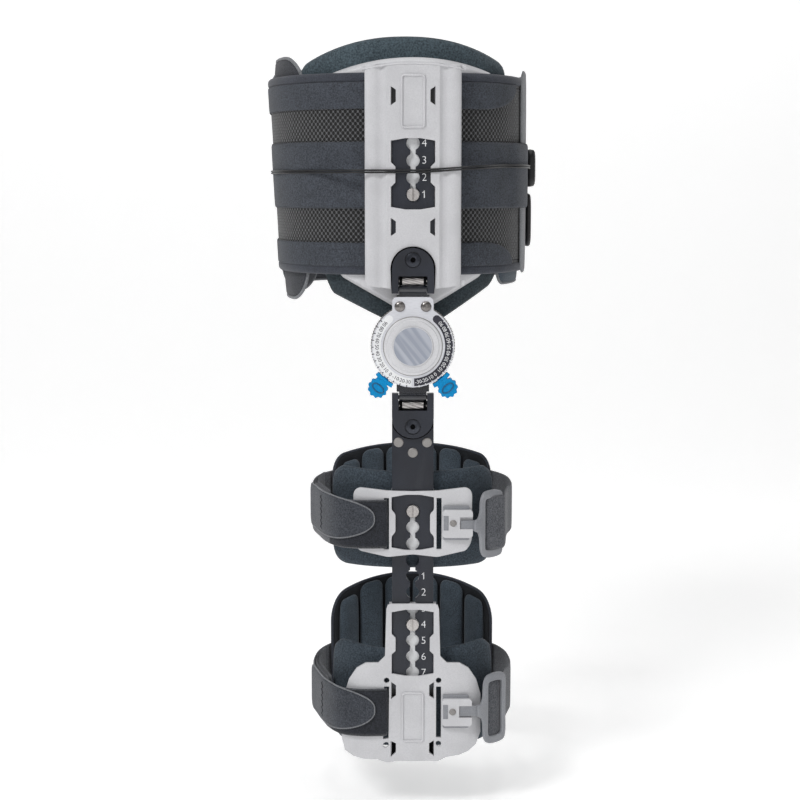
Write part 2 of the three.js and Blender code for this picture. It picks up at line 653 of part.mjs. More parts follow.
function dialCap() {
  const { radius, step, edge } = DIAL_CAP;
  const back = DIAL.front - GAP;
  const profile = [
    [0, capFront], [step, capFront], [step + edge, capFront + edge], [radius - edge, capFront + edge],
    [radius, capFront + 2 * edge], [radius, back], [0, back],
  ];
  return turned(profile, 0, DIAL.z, 28);
}

function dialLabel() {
  const { radius, edge, depth } = DIAL_LABEL;
  const back = capFront - GAP;
  const front = back - depth;
  const profile = [[0, front], [radius - edge, front], [radius, front + edge], [radius, back], [0, back]];
  return turned(profile, 0, DIAL.z, 24);
}

// A domed rivet whose head lies on a face and whose shank runs back from it
function rivet({ head, dome, shank }, face, shankEnd, x, z) {
  const seat = face - GAP;
  const crown = [0.75 * head, seat - 0.7 * dome];
  const profile = [[0, seat - dome], crown, [head, seat], [shank, seat], [shank, shankEnd], [0, shankEnd]];
  return turned(profile, x, z, 10);
}

// The swinging tongue: a disc round the hub, a fan that the stops meet and an arm to the lower knuckle
function lowerTongue() {
  const { disc, fan, fanAngle, half } = TONGUE;
  const lean = THREE.MathUtils.degToRad(fanAngle);
  const fanShape = new THREE.Shape();
  fanShape.moveTo(0, DIAL.z);
  fanShape.absarc(0, DIAL.z, fan, -Math.PI / 2 - lean, -Math.PI / 2 + lean);
  const armEnd = KNUCKLE.lowerZ + TONGUE.shoulder;
  const tongue = join(
    rod(disc, tongueDepth, 0, DIAL.z, 28),
    plate(fanShape, tongueDepth),
    box([-half, half], tongueDepth, [armEnd, DIAL.z - disc / 2]),
    box([-KNUCKLE.half, KNUCKLE.half], tongueDepth, [KNUCKLE.lowerZ, armEnd]),
    knuckle(KNUCKLE.lowerZ),
  );
  return cut(tongue, rod(DIAL_BACK.hub + GAP, throughTongue, 0, DIAL.z));
}

// A stop, made hanging straight below the dial's centre: pin, flange on the rim, neck and scalloped knob
function stop() {
  const lean = THREE.MathUtils.degToRad(STOP.flangeAngle);
  const flange = new THREE.Shape();
  flange.absarc(0, 0, STOP.flangeTo, -Math.PI / 2 - lean, -Math.PI / 2 + lean);
  flange.absarc(0, 0, STOP.flangeFrom, -Math.PI / 2 + lean, -Math.PI / 2 - lean, true);
  const rimPoints = 2 * STOP.scallops;
  const knobShape = outline(Array.from({ length: rimPoints }, (_, i) => {
    const angle = (2 * Math.PI * i) / rimPoints;
    const radius = STOP.knob + STOP.scallop * Math.cos(STOP.scallops * angle);
    return [radius * Math.cos(angle), radius * Math.sin(angle)];
  }));
  const { bevel, flangeTo, knobFrom, knobTo, neckHalf, neckInset } = STOP;
  const knob = new THREE.ExtrudeGeometry(knobShape, {
    depth: knobTo - knobFrom - 2 * bevel,
    bevelThickness: bevel, bevelSize: bevel, bevelOffset: -bevel, bevelSegments: 1,
  });
  const neckDepth = [DIAL.front + neckInset, DIAL_BACK.back - neckInset];
  return join(
    box([-STOP.pinHalf, STOP.pinHalf], tongueDepth, [neckInset - flangeTo, -STOP.pinFrom]),
    plate(flange, [DIAL.front, DIAL_BACK.back]),
    box([-neckHalf, neckHalf], neckDepth, [-knobFrom - neckInset, neckInset - flangeTo]),
    toSolid(knob.translate(0, KNUCKLE.y, bevel - knobTo)),
  );
}

function thighBar() {
  const rivetHole = (x, z) => rod(BAR_RIVET.shank + GAP, throughBar, x, z, 8);
  return cut(
    barBlank(BAR.bottom, KNUCKLE.lowerZ - CLEVIS.axisToBlockEnd - GAP),
    holeRow(UPPER_CUFF.studZ, HOLE.thighCount),
    rod(SCREW.shank + GAP, throughBar, 0, KNUCKLE.lowerZ - CLEVIS.axisToScrew, 8),
    rivetHole(-BAR_RIVET.sideX, BAR_RIVET.sideZ),
    rivetHole(BAR_RIVET.sideX, BAR_RIVET.sideZ),
    rivetHole(0, BAR_RIVET.lowZ),
  );
}

const barRivet = (x, z) => rivet(BAR_RIVET, barFront, barBack, x, z);
const dialRivet = (x) => rivet(DIAL_RIVET, DIAL.front, DIAL_BACK.back, x, DIAL_RIVET.z);

// A cuff's plate: two wings that bend back, and a sleeve for the thigh bar
const wingBend = (x) => CUFF.bend * Math.max(0, Math.abs(x) - CUFF.flatTo) ** 2;

function cuffWings(rows) {
  const bothSides = [...rows.slice(1).map((row) => ({ ...row, x: -row.x })).reverse(), ...rows];
  const steps = bothSides.length - 1;
  return bentBlock(steps, (i, v, w) => {
    const { x, top, bottom } = bothSides[i];
    return { x, y: CUFF.front + wingBend(x) + CUFF.wing * (1 - w), z: THREE.MathUtils.lerp(bottom, top, v) };
  }, false);
}

const throughPlate = [CUFF.front - PAST, CUFF.back + PAST];

function cuffPlate(cuff) {
  const { front, back, sleeveHalf, tabHalf, slotFrom, slotTo } = CUFF;
  const { top, bottom } = cuff.plate[0];
  const slot = (side) => [side * slotFrom, side * slotTo].sort((a, b) => a - b);
  const sleeve = box([-sleeveHalf, sleeveHalf], [front, back], [bottom + GAP, top - GAP]);
  return cut(
    join(cuffWings(cuff.plate), sleeve),
    box([-cavityHalf, cavityHalf], cavity, [cuff.cavityEnd, top + PAST]),
    windowCut({ ...cuff, half: cavityHalf, tabHalf }, [front - PAST, BAR.middle]),
    mirrored((side) => box(slot(side), throughPlate, [cuff.slotBottom, cuff.slotTop])),
  );
}

// The lower plate also has a bare raised frame, vents and round eyes beyond the ends of its strap slots
function lowerCuffPlate() {
  const { slotTop, slotBottom, vents } = LOWER_CUFF;
  const slotX = (CUFF.slotFrom + CUFF.slotTo) / 2;
  const eyes = (z) => mirrored((side) => rod(SLOT_EYE.radius, throughPlate, side * slotX, z, 8));
  return join(
    cut(
      cuffPlate(LOWER_CUFF),
      eyes(slotTop + SLOT_EYE.beyond),
      eyes(slotBottom - SLOT_EYE.beyond),
      ventCuts(vents, CUFF.front),
    ),
    raisedFrame(LOWER_FRAME, CUFF.front),
  );
}

// A front pad that hugs the outside of the thigh, with raised corners
function pad({ endX, top, earTop, bottom, corner }) {
  const round = roundCorners({ bottom, top: 0, length: corner, height: corner });
  return wall(thigh, {
    from: nearAt(thigh, -endX), to: nearAt(thigh, endX), round: corner, inner: -PAD_THICKNESS, outer: 0,
    bottom: round.bottom,
    top: (spot) => THREE.MathUtils.lerp(top, earTop, (spot.x / endX) ** 2) + round.top(spot),
  });
}

// A rear pad inside the thigh, with upright padded channels on its inner face
function rearPad({ endX, top, sideTop, bottom, corner }) {
  const { base, rib, ribs, stepsPerRib, fullness } = REAR_PAD;
  const round = roundCorners({ bottom, top: 0, length: corner, height: corner });
  const from = 1 - nearAt(thigh, endX);
  const to = 1 - nearAt(thigh, -endX);
  const steps = ribs * stepsPerRib;
  return wall(thigh, {
    from, to, places: Array.from({ length: steps + 1 }, (_, i) => THREE.MathUtils.lerp(from, to, i / steps)),
    inner: ({ share }) => -base - rib * Math.abs(Math.sin(Math.PI * ribs * share)) ** fullness, outer: 0,
    bottom: round.bottom,
    top: (spot) => THREE.MathUtils.lerp(top, sideTop, (spot.x / endX) ** 2) + round.top(spot),
  });
}

// The strap's route seen from above: through the ring, round the back of the thigh and into the plate's slot
function strapCurve(cuff) {
  const lean = THREE.MathUtils.degToRad(RING.turn);
  const onRing = (reach, out) => ({
    x: cuff.ringX + reach * Math.cos(lean) + out * Math.sin(lean),
    y: RING.y + reach * Math.sin(lean) - out * Math.cos(lean),
  });
  const out = 2 * GAP + STRAP.thickness / 2;
  const first = nearAt(thigh, STRAP.joinX) - 1;
  const last = nearAt(thigh, -STRAP.joinX);
  const round = Array.from({ length: STRAP.loopPoints }, (_, i) =>
    beside(thigh, THREE.MathUtils.lerp(first, last, i / (STRAP.loopPoints - 1)), out));
  const entry = [onRing(RING.length / 2, STRAP.ringLift), onRing(RING.length * 0.8, -STRAP.ringDip)];
  const plan = [...entry, ...round, ...STRAP.front];
  return new THREE.CatmullRomCurve3(plan.map(({ x, y }) => new THREE.Vector3(x, y, 0)), false, 'centripetal');
}

function strap(cuff) {
  const half = STRAP.thickness / 2;
  return wall(strapCurve(cuff), {
    round: STRAP.endBend, inner: -half, outer: half,
    bottom: cuff.strapZ - STRAP.half, top: cuff.strapZ + STRAP.half,
  });
}

// The strap's free end, laid back over it, with a round tip
function strapTab(cuff) {
  const curve = strapCurve(cuff);
  const length = curve.getLength();
  const to = 1 - TAB.shortBy / length;
  const inner = STRAP.thickness / 2 + GAP;
  const half = ({ last }) => cuff.tabHalf * THREE.MathUtils.lerp(TAB.tipShare, 1, rounding(last, TAB.round));
  return wall(curve, {
    from: to - TAB.length / length, to, round: TAB.round, inner, outer: inner + TAB.thickness,
    bottom: (spot) => cuff.tabZ - half(spot), top: (spot) => cuff.tabZ + half(spot),
  });
}

// The hook ring: a frame turned back round the thigh, with a tongue that lies in the latch
function ring(cuff) {
  const { turn, length, bar, rail, thickness, corner, tongueHalf, tongueFrom, tongueDepth } = RING;
  const half = cuff.ringHalf;
  const depth = [-thickness / 2, thickness / 2];
  const frame = roundedRect([0, length], [-half, half], corner);
  const [low, high, near, far] = [rail - half, half - rail, bar, length - bar];
  frame.holes.push(outline([[near, low], [near, high], [far, high], [far, low]]));
  const turnedFrame = plateGeometry(frame, depth).rotateZ(THREE.MathUtils.degToRad(turn));
  const tongueY = [RING.y - tongueDepth / 2, RING.y + tongueDepth / 2];
  return join(
    toSolid(turnedFrame.translate(cuff.ringX, RING.y, cuff.ringZ)),
    box([tongueFrom, cuff.ringX + 2], tongueY, [cuff.latchZ - tongueHalf, cuff.latchZ + tongueHalf]),
  );
}

// The latch: a block on the plate's wing with a recess for the ring's tongue and a pocket for its spring
function latch(cuff) {
  const { left, right, front, lowerHalf, upperHalf, recess, corner } = LATCH;
  const { pocketFrom, pocketTo, pocketHalf, pocketDepth } = LATCH;
  const z = cuff.latchZ;
  const face = roundedRect([left, right], [z - lowerHalf, z + upperHalf], corner);
  const block = plate(face, [front, CUFF.front - GAP]);
  const recessFloor = RING.y + RING.tongueDepth / 2 + GAP;
  const open = front - PAST;
  return cut(
    block,
    box([RING.tongueFrom - 2 * GAP, right + PAST], [open, recessFloor], [z - recess, z + recess]),
    box([left + pocketFrom, left + pocketTo], [open, front + pocketDepth], [z - pocketHalf, z + pocketHalf]),
    rod(LATCH_RIVET.shank + GAP, [open, LATCH_RIVET.shankEnd + GAP], LATCH_RIVET.x, z, 8),
  );
}

const latchRivet = (cuff) => rivet(LATCH_RIVET, LATCH.front, LATCH_RIVET.shankEnd, LATCH_RIVET.x, cuff.latchZ);

// Assembly: one group for each body that moves as a whole
const brace = new THREE.Group();
brace.name = 'hip_brace';

function body(name, pieces) {
  const group = new THREE.Group();
  group.name = name;
  for (const [pieceName, solid, material] of pieces) {
    const mesh = new THREE.Mesh(toGeometry(solid), material);
    mesh.name = pieceName;
    group.add(mesh);
  }
  brace.add(group);
  return group;
}

function cuffPieces(cuff, plateSolid) {
  return [
    [`${cuff.name}_cuff_plate`, plateSolid, WHITE_PLASTIC],
    [`${cuff.name}_cuff_stud`, lockStud(cuff.studZ), STEEL],
    [`${cuff.name}_pad`, pad(cuff.pad), FOAM_CLOTH],
    [`${cuff.name}_rear_pad`, rearPad(cuff.rearPad), NAVY_CLOTH],
    [`${cuff.name}_strap`, strap(cuff), WEBBING],
    [`${cuff.name}_strap_tab`, strapTab(cuff), WEBBING],
    [`${cuff.name}_ring`, ring(cuff), GREY_PLASTIC],
    [`${cuff.name}_latch`, latch(cuff), WHITE_PLASTIC],
    [`${cuff.name}_latch_rivet`, latchRivet(cuff), STEEL],
  ];
}

body('pelvis', [
  ['pelvic_belt', pelvicBelt(), SPACER_MESH],
  ['belt_band_top', endedBand(BAND_TOP), LOOP_CLOTH],
  ['belt_band_mid', middleBand(), LOOP_CLOTH],
  ['belt_band_low', endedBand(BAND_LOW), LOOP_CLOTH],
  ['front_panel', frontPanel(), PANEL_CLOTH],
  ['closure_flap', closureFlap(), PANEL_CLOTH],
  ['rear_panel', backWall(REAR_PANEL, GAP, panelOuter), PANEL_CLOTH],
  ['lumbar_pad', lumbarPad(), NAVY_CLOTH],
  ['pulley_upper', pulley(PULLEY_UPPER), BLACK_PLASTIC],
  ['pulley_lower', pulley(PULLEY_LOWER), BLACK_PLASTIC],
  ['pull_cord_upper', cord(CORD.z + CORD.spread / 2), BLACK_PLASTIC],
  ['pull_cord_lower', cord(CORD.z - CORD.spread / 2), BLACK_PLASTIC],
  ['pelvic_shell', pelvicShell(), WHITE_PLASTIC],
  ['shell_foam', shellFoam(), FOAM_CLOTH],
  ['channel_plate', channelPlate(), WHITE_PLASTIC],
  ['channel_stud', lockStud(upperHoleZ), STEEL],
]);

body('upper_arm', [
  ['upper_bar', upperBar(), BLACK_METAL],
  ['upper_clevis', clevis(KNUCKLE.upperZ, 1), BLACK_METAL],
  ['upper_roller', roller(KNUCKLE.upperZ, 1), STEEL],
  ['upper_clevis_screw', clevisScrew(KNUCKLE.upperZ, 1), BLACK_METAL],
]);

body('hip_dial', [
  ['upper_tongue', upperTongue(), BLACK_METAL],
  ['dial_plate', dialPlate(), ALUMINIUM],
  ['dial_back_plate', dialBackPlate(), ALUMINIUM],
  ['dial_cap', dialCap(), ALUMINIUM],
  ['dial_label', dialLabel(), LABEL_FILM],
  ['dial_rivet_left', dialRivet(-DIAL_RIVET.x), STEEL],
  ['dial_rivet_right', dialRivet(DIAL_RIVET.x), STEEL],
]);

for (const [name, side] of [['flexion_stop', 1], ['extension_stop', -1]]) {
  const group = body(`${name}_knob`, [[name, stop(), BLUE_PLASTIC]]);
  group.position.set(0, 0, DIAL.z);
  group.rotation.y = side * THREE.MathUtils.degToRad(STOP.angle);
}

body('hip_link', [['lower_tongue', lowerTongue(), BLACK_METAL]]);

body('thigh', [
  ['lower_clevis', clevis(KNUCKLE.lowerZ, -1), BLACK_METAL],
  ['lower_roller', roller(KNUCKLE.lowerZ, -1), STEEL],
  ['lower_clevis_screw', clevisScrew(KNUCKLE.lowerZ, -1), BLACK_METAL],
  ['thigh_bar', thighBar(), BLACK_METAL],
  ['bar_rivet_left', barRivet(-BAR_RIVET.sideX, BAR_RIVET.sideZ), STEEL],
  ['bar_rivet_right', barRivet(BAR_RIVET.sideX, BAR_RIVET.sideZ), STEEL],
  ['bar_rivet_low', barRivet(0, BAR_RIVET.lowZ), STEEL],
]);

body('upper_cuff', cuffPieces(UPPER_CUFF, cuffPlate(UPPER_CUFF)));
body('lower_cuff', cuffPieces(LOWER_CUFF, lowerCuffPlate()));

export default brace;
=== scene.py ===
# %% [markdown]
# A hip brace, dressed on its CAD frame.
# The frame brings in every solid of the brace in its real place: a waist belt with a side shell, a dial
# hinge and a thigh bar with two cuffs. This lesson keeps those places and gives each piece its finished
# shape and surface. Sizes are written in millimetres, as on a maker's drawing, and MM turns them into
# Blender's metres.

# %% Load the frame
import json
import math
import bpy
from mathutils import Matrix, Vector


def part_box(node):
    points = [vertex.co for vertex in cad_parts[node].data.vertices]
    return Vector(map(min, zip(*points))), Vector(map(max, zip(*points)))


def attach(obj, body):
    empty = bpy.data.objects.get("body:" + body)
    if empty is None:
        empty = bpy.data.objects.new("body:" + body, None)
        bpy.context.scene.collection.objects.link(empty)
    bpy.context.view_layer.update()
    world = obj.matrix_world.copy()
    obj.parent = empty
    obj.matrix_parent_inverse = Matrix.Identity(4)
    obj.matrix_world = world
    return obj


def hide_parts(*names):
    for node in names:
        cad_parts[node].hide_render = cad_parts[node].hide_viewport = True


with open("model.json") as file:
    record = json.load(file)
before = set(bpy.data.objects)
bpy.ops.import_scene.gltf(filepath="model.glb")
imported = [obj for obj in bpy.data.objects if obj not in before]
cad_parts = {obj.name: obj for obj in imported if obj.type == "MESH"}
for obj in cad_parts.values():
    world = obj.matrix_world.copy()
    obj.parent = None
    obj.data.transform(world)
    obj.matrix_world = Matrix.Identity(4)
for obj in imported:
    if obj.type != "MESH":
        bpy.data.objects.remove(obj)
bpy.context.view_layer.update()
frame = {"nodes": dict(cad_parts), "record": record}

from types import SimpleNamespace

import bmesh
import bpy
import numpy as np
from mathutils import Matrix, Vector

MM = 0.001
scene = bpy.context.scene
record = frame["record"]
body_of = {node: body for body, nodes in record["behaviour"]["bodies"].items() for node in nodes}
slot_of = {row["node"]: row["material_slot"] for row in record["subparts"]}

# %% [markdown]
# The camera.
# The photograph was taken from the height of the belt, about one and a half metres away, looking slightly
# down. A long lens keeps the bar straight. It could be aimed by a constraint, but a plain turn is easier to
# read.

# %% Camera
CAMERA = {"place": (-11.05, -1646.0, -10.2), "down": 7.0, "lens": 78.84}


def at_mm(x, y, z):
    """A place or a size that is written in millimetres."""
    return Vector((x, y, z)) * MM


camera = bpy.data.objects.new("camera", bpy.data.cameras.new("camera"))
scene.collection.objects.link(camera)
scene.camera = camera
camera.data.lens = CAMERA["lens"]
camera.location = at_mm(*CAMERA["place"])
camera.rotation_euler = (math.radians(90 - CAMERA["down"]), 0, 0)
print("camera lens", camera.data.lens, "mm")

# %% [markdown]
# The studio.
# A pale floor that bends up into a wall hides the horizon, as a paper sweep does in a studio. Its profile
# grows edge by edge: extrude the front edge back, spin it through a quarter turn, then extrude it up. An
# operator gives back a mixed list of what it made, so a small helper picks out the kind that the next one
# needs.

# %% Paper sweep
SWEEP = {"floor": -560.0, "front": -2600.0, "bend": 1300.0, "radius": 900.0, "steps": 24, "height": 4200.0,
         "half": 4200.0}
POINT, EDGE = bmesh.types.BMVert, bmesh.types.BMEdge


def only(kind, made):
    """The items of one kind among what an operator made."""
    return [item for item in made if isinstance(item, kind)]


bm = bmesh.new()
ends = [bm.verts.new(at_mm(side * SWEEP["half"], SWEEP["front"], SWEEP["floor"])) for side in (-1, 1)]
made = bmesh.ops.extrude_edge_only(bm, edges=[bm.edges.new(ends)])["geom"]
bmesh.ops.translate(bm, verts=only(POINT, made), vec=at_mm(0, SWEEP["bend"] - SWEEP["front"], 0))
made = bmesh.ops.spin(
    bm, geom=only(EDGE, made), cent=at_mm(0, SWEEP["bend"], SWEEP["floor"] + SWEEP["radius"]), axis=(1, 0, 0),
    angle=math.pi / 2, steps=SWEEP["steps"])["geom_last"]
made = bmesh.ops.extrude_edge_only(bm, edges=only(EDGE, made))["geom"]
bmesh.ops.translate(bm, verts=only(POINT, made), vec=at_mm(0, 0, SWEEP["height"]))
bmesh.ops.recalc_face_normals(bm, faces=bm.faces)
sweep_mesh = bpy.data.meshes.new("paper_sweep")
bm.to_mesh(sweep_mesh)
bm.free()
sweep_mesh.shade_smooth()
sweep = bpy.data.objects.new("paper_sweep", sweep_mesh)
scene.collection.objects.link(sweep)
print("paper sweep with", len(sweep_mesh.polygons), "faces")

# %% [markdown]
# Soft lights.
# Wide area lamps stand for a studio's soft boxes. The key comes from the upper left, where the shading of
# the white mouldings says that it was, a wide lamp hangs above, and weak ones fill the right and the front.
# A faint white world keeps the deepest folds from going black.

# %% Lamps and world
LIGHTS = [
    {"name": "key", "place": (-1300, -1850, 1650), "size": 800, "watts": 36},
    {"name": "fill", "place": (1800, -1700, 500), "size": 1300, "watts": 4},
    {"name": "front", "place": (300, -2500, 250), "size": 900, "watts": 3},
    {"name": "top", "place": (0, -200, 2200), "size": 1200, "watts": 18},
]
LIGHT_AIM = at_mm(0, 0, -200)
WORLD_STRENGTH = 0.17
for row in LIGHTS:
    lamp = bpy.data.lights.new(row["name"], "AREA")
    lamp.size = row["size"] * MM
    lamp.energy = row["watts"]
    light = bpy.data.objects.new(row["name"], lamp)
    light.location = at_mm(*row["place"])
    light.rotation_euler = (LIGHT_AIM - light.location).to_track_quat("-Z", "Y").to_euler()
    scene.collection.objects.link(light)
world = bpy.data.worlds.new("studio")
world.use_nodes = True
sky = world.node_tree.nodes["Background"].inputs
sky["Color"].default_value = (1, 1, 1, 1)
sky["Strength"].default_value = WORLD_STRENGTH
scene.world = world
scene.view_settings.view_transform = "Standard"
print(len(LIGHTS), "soft lights")

# %% [markdown]
# Finishes.
# Every finish is a small node tree. One helper adds a node, sets what is fixed and links what is not, and
# another turns the sRGB colours that we read one by one into the linear ones that light is counted in. The
# paper of the sweep is the first: matt, with faint clouds, and glowing a little so that it stays white behind
# the brace.

# %% Helpers for finishes, and the paper
# The mix node has sockets of the same name for numbers, vectors and colours, so ours are picked by number.
SHARE, FIRST, SECOND, MIXED = 0, 6, 7, 2
PAPER_CLOUD = 25.0


def linear(code):
    """An sRGB hex colour as linear numbers."""
    parts = [int(code[i:i + 2], 16) / 255 for i in (1, 3, 5)]
    return [part / 12.92 if part <= 0.04045 else ((part + 0.055) / 1.055) ** 2.4 for part in parts] + [1.0]


def add_node(tree, kind, sockets=None, **settings):
    """Adds a node, sets its properties, and sets or links its input sockets."""
    made = tree.nodes.new(kind)
    for name, value in settings.items():
        setattr(made, name, value)
    for name, value in (sockets or {}).items():
        if isinstance(value, bpy.types.NodeSocket):
            tree.links.new(value, made.inputs[name])
        else:
            made.inputs[name].default_value = value
    return made


def start_finish(name, **sockets):
    """A material with its shader's constants set. Gives back the material, its tree and its shader."""
    material = bpy.data.materials.new(name)
    material.use_nodes = True
    shader = material.node_tree.nodes["Principled BSDF"]
    for socket, value in sockets.items():
        shader.inputs[socket.replace("_", " ").title().replace("Ior", "IOR")].default_value = value
    return material, material.node_tree, shader


# Matt paper: an even white with no gloss.
paper, tree, shader = start_finish(
    "matt_paper", roughness=0.9, emission_strength=0.36, emission_color=(1, 1, 1, 1))
coords = add_node(tree, "ShaderNodeTexCoord")
cloud = add_node(tree, "ShaderNodeTexNoise", {
    "Vector": coords.outputs["Object"], "Scale": 1 / (PAPER_CLOUD * MM)})
tone = add_node(tree, "ShaderNodeMix", {
    SHARE: cloud.outputs[0], FIRST: linear("#f3f3f3"), SECOND: linear("#f7f7f7")}, data_type="RGBA")
tree.links.new(tone.outputs[MIXED], shader.inputs["Base Color"])
sweep_mesh.materials.append(paper)
print("finish", paper.name)

# %% [markdown]
# Cloth finishes.
# Brushed loop cloth has no gloss: its short fibres catch light as flecks about a millimetre wide, with
# broader patches where the pile lies differently. A fine noise gives the flecks and a broad one the
# patches. A little sheen brightens the cloth where it turns away, as pile does.

# %% Brushed cloths
PATCH = {"flecks_wide": 14, "share": 0.2}
FLECK_RANGE = (0.42, 0.78)


def brushed_cloth(name, dark, light, fleck, height, sheen, painted_shade=None):
    """Brushed loop cloth with flecks of a given width and pile of a given height, in millimetres.

    painted_shade is the height where the cloth is darkest, the height where it is not, and the share of its
    colour that it keeps there: shade painted into the colour, darker towards the bottom."""
    material, tree, shader = start_finish(name, roughness=0.92, sheen_weight=sheen, sheen_roughness=0.5)
    coords = add_node(tree, "ShaderNodeTexCoord")
    flecks = add_node(tree, "ShaderNodeTexNoise", {
        "Vector": coords.outputs["Object"], "Scale": 1 / (fleck * MM), "Detail": 2.0, "Roughness": 0.65})
    patches = add_node(tree, "ShaderNodeTexNoise", {
        "Vector": coords.outputs["Object"], "Scale": 1 / (PATCH["flecks_wide"] * fleck * MM)})
    both = add_node(tree, "ShaderNodeMath", {
        0: patches.outputs[0], 1: PATCH["share"], 2: flecks.outputs[0]}, operation="MULTIPLY_ADD")
    share = add_node(tree, "ShaderNodeMapRange", {
        "Value": both.outputs[0], "From Min": FLECK_RANGE[0], "From Max": FLECK_RANGE[1]})
    tone = add_node(tree, "ShaderNodeMix", {
        SHARE: share.outputs[0], FIRST: linear(dark), SECOND: linear(light)}, data_type="RGBA")
    bump = add_node(tree, "ShaderNodeBump", {
        "Height": flecks.outputs[0], "Distance": height * MM, "Strength": 0.7})
    colour = tone.outputs[MIXED]
    if painted_shade:
        low, high, keep = painted_shade
        place = add_node(tree, "ShaderNodeSeparateXYZ", {0: coords.outputs["Object"]})
        kept = add_node(tree, "ShaderNodeMapRange", {
            "Value": place.outputs["Z"], "From Min": low * MM, "From Max": high * MM, "To Min": keep})
        faded = add_node(tree, "ShaderNodeVectorMath", {
            0: colour, "Scale": kept.outputs[0]}, operation="SCALE")
        colour = faded.outputs[0]
    tree.links.new(colour, shader.inputs["Base Color"])
    tree.links.new(bump.outputs[0], shader.inputs["Normal"])
    return material


# Polyester loop cloth of the belt's bands: mid grey with light flecks.
band_cloth = brushed_cloth("polyester_loop_cloth", "#282b31", "#4a4f58", fleck=1.3, height=0.5, sheen=0.08)
# Laminated loop cloth of the panels: darker and closer.
panel_cloth = brushed_cloth("laminated_loop_cloth", "#26282d", "#45474d", fleck=1.1, height=0.4, sheen=0.08)
# Foam covered in nubby loop: blue grey, with coarser nubs, and painted shade that darkens it below the belt.
foam_cloth = brushed_cloth(
    "nubby_loop_foam", "#28333a", "#4d5c64", fleck=1.6, height=0.8, sheen=0.08, painted_shade=(-95, 40, 0.5))
# Loop cloth of the front pads: slate blue, soft and even.
pad_cloth = brushed_cloth("slate_loop_cloth", "#242d35", "#444f59", fleck=1.4, height=0.6, sheen=0.1)
# Quilted lining: dark navy knit with a fine surface.
quilt_cloth = brushed_cloth("navy_quilted_knit", "#2b343c", "#4b5762", fleck=0.9, height=0.25, sheen=0.15)
# Backing of the quilted pads, in painted shade: almost black, so that the seams between the puffs read as
# deep.
seam_shade_cloth = brushed_cloth("black_backing_knit", "#0f1216", "#1e2228", fleck=0.9, height=0.2, sheen=0.1)
# Strap webbing: fuzzy mid grey.
strap_cloth = brushed_cloth("fuzzy_strap_webbing", "#3c3e43", "#67696e", fleck=1.2, height=0.6, sheen=0.15)
# The strap's hook-and-loop tab: darker grey loop.
tab_cloth = brushed_cloth("hook_and_loop_tab", "#25282e", "#494d55", fleck=1.3, height=0.7, sheen=0.15)
# The loop patch under the tab: nearly black.
patch_cloth = brushed_cloth("black_loop_patch", "#14161b", "#2e3139", fleck=1.2, height=0.7, sheen=0.1)
# Edging of the back panel, the pipings and the tab's rim: light grey tape.
edging_cloth = brushed_cloth(
    "light_grey_edging_tape", "#5f6165", "#86888c", fleck=1.0, height=0.3, sheen=0.15)
# Folded binding tape: smooth dark knit.
binding_cloth = brushed_cloth("folded_binding_tape", "#272a32", "#434751", fleck=0.8, height=0.15, sheen=0.15)
print("finish", band_cloth.name, "and the other cloths")

# %% [markdown]
# Spacer mesh.
# The belt is a knitted spacer: grey threads round staggered holes, in rows about 2.6 mm apart. Two square
# lattices of dots, one moved by half a step, make the staggered rows. The lattice follows the cloth's own
# UV map, which is in metres along the belt and up it, so the holes keep their size round the body.

# %% Spacer mesh finish
MESH = {"pitch": (4.6, 5.2), "hole": 0.29, "thread": 0.37, "fuzz": 0.9, "depth": 0.8}
# Knitted spacer: fuzzy grey yarn round deep holes, whose near black is painted shade.
spacer_mesh, tree, shader = start_finish("knitted_spacer_mesh", roughness=0.85, sheen_weight=0.2)
cloth_map = add_node(tree, "ShaderNodeUVMap", uv_map="cloth")
scale = (1 / (MESH["pitch"][0] * MM), 1 / (MESH["pitch"][1] * MM), 1.0)
lattices = []
for shift in (0.0, 0.5):
    grid = add_node(tree, "ShaderNodeMapping", {
        "Vector": cloth_map.outputs[0], "Location": (shift, shift, 0.0), "Scale": scale})
    dots = add_node(tree, "ShaderNodeTexVoronoi", {
        "Vector": grid.outputs[0], "Scale": 1.0, "Randomness": 0.0}, voronoi_dimensions="2D")
    lattices.append(dots.outputs["Distance"])
nearest = add_node(tree, "ShaderNodeMath", {0: lattices[0], 1: lattices[1]}, operation="MINIMUM")
thread = add_node(tree, "ShaderNodeMapRange", {
    "Value": nearest.outputs[0], "From Min": MESH["hole"], "From Max": MESH["thread"]})
coords = add_node(tree, "ShaderNodeTexCoord")
fuzz = add_node(tree, "ShaderNodeTexNoise", {
    "Vector": coords.outputs["Object"], "Scale": 1 / (MESH["fuzz"] * MM)})
yarn = add_node(tree, "ShaderNodeMix", {
    SHARE: fuzz.outputs[0], FIRST: linear("#3e3f42"), SECOND: linear("#757679")}, data_type="RGBA")
# The holes are not cut: near black paints the shade inside them.
tone = add_node(tree, "ShaderNodeMix", {
    SHARE: thread.outputs[0], FIRST: linear("#060607"), SECOND: yarn.outputs[MIXED]}, data_type="RGBA")
bump = add_node(tree, "ShaderNodeBump", {
    "Height": thread.outputs[0], "Distance": MESH["depth"] * MM, "Strength": 0.9})
tree.links.new(tone.outputs[MIXED], shader.inputs["Base Color"])
tree.links.new(bump.outputs[0], shader.inputs["Normal"])
print("finish", spacer_mesh.name)

# %% [markdown]
# Hard finishes.
# The mouldings are satin plastic with a fine spark-eroded grain. The bars are coated metal, the dial is
# brushed aluminium, and the pins are turned steel. Each gets a grain at its own scale, drawn a little
# coarser than the real one where that would be too fine to show, and a broad cloud that keeps large faces
# from looking flat.

# %% Plastics
CLOUD = 30.0
GRAIN_RANGE = (0.15, 0.35)


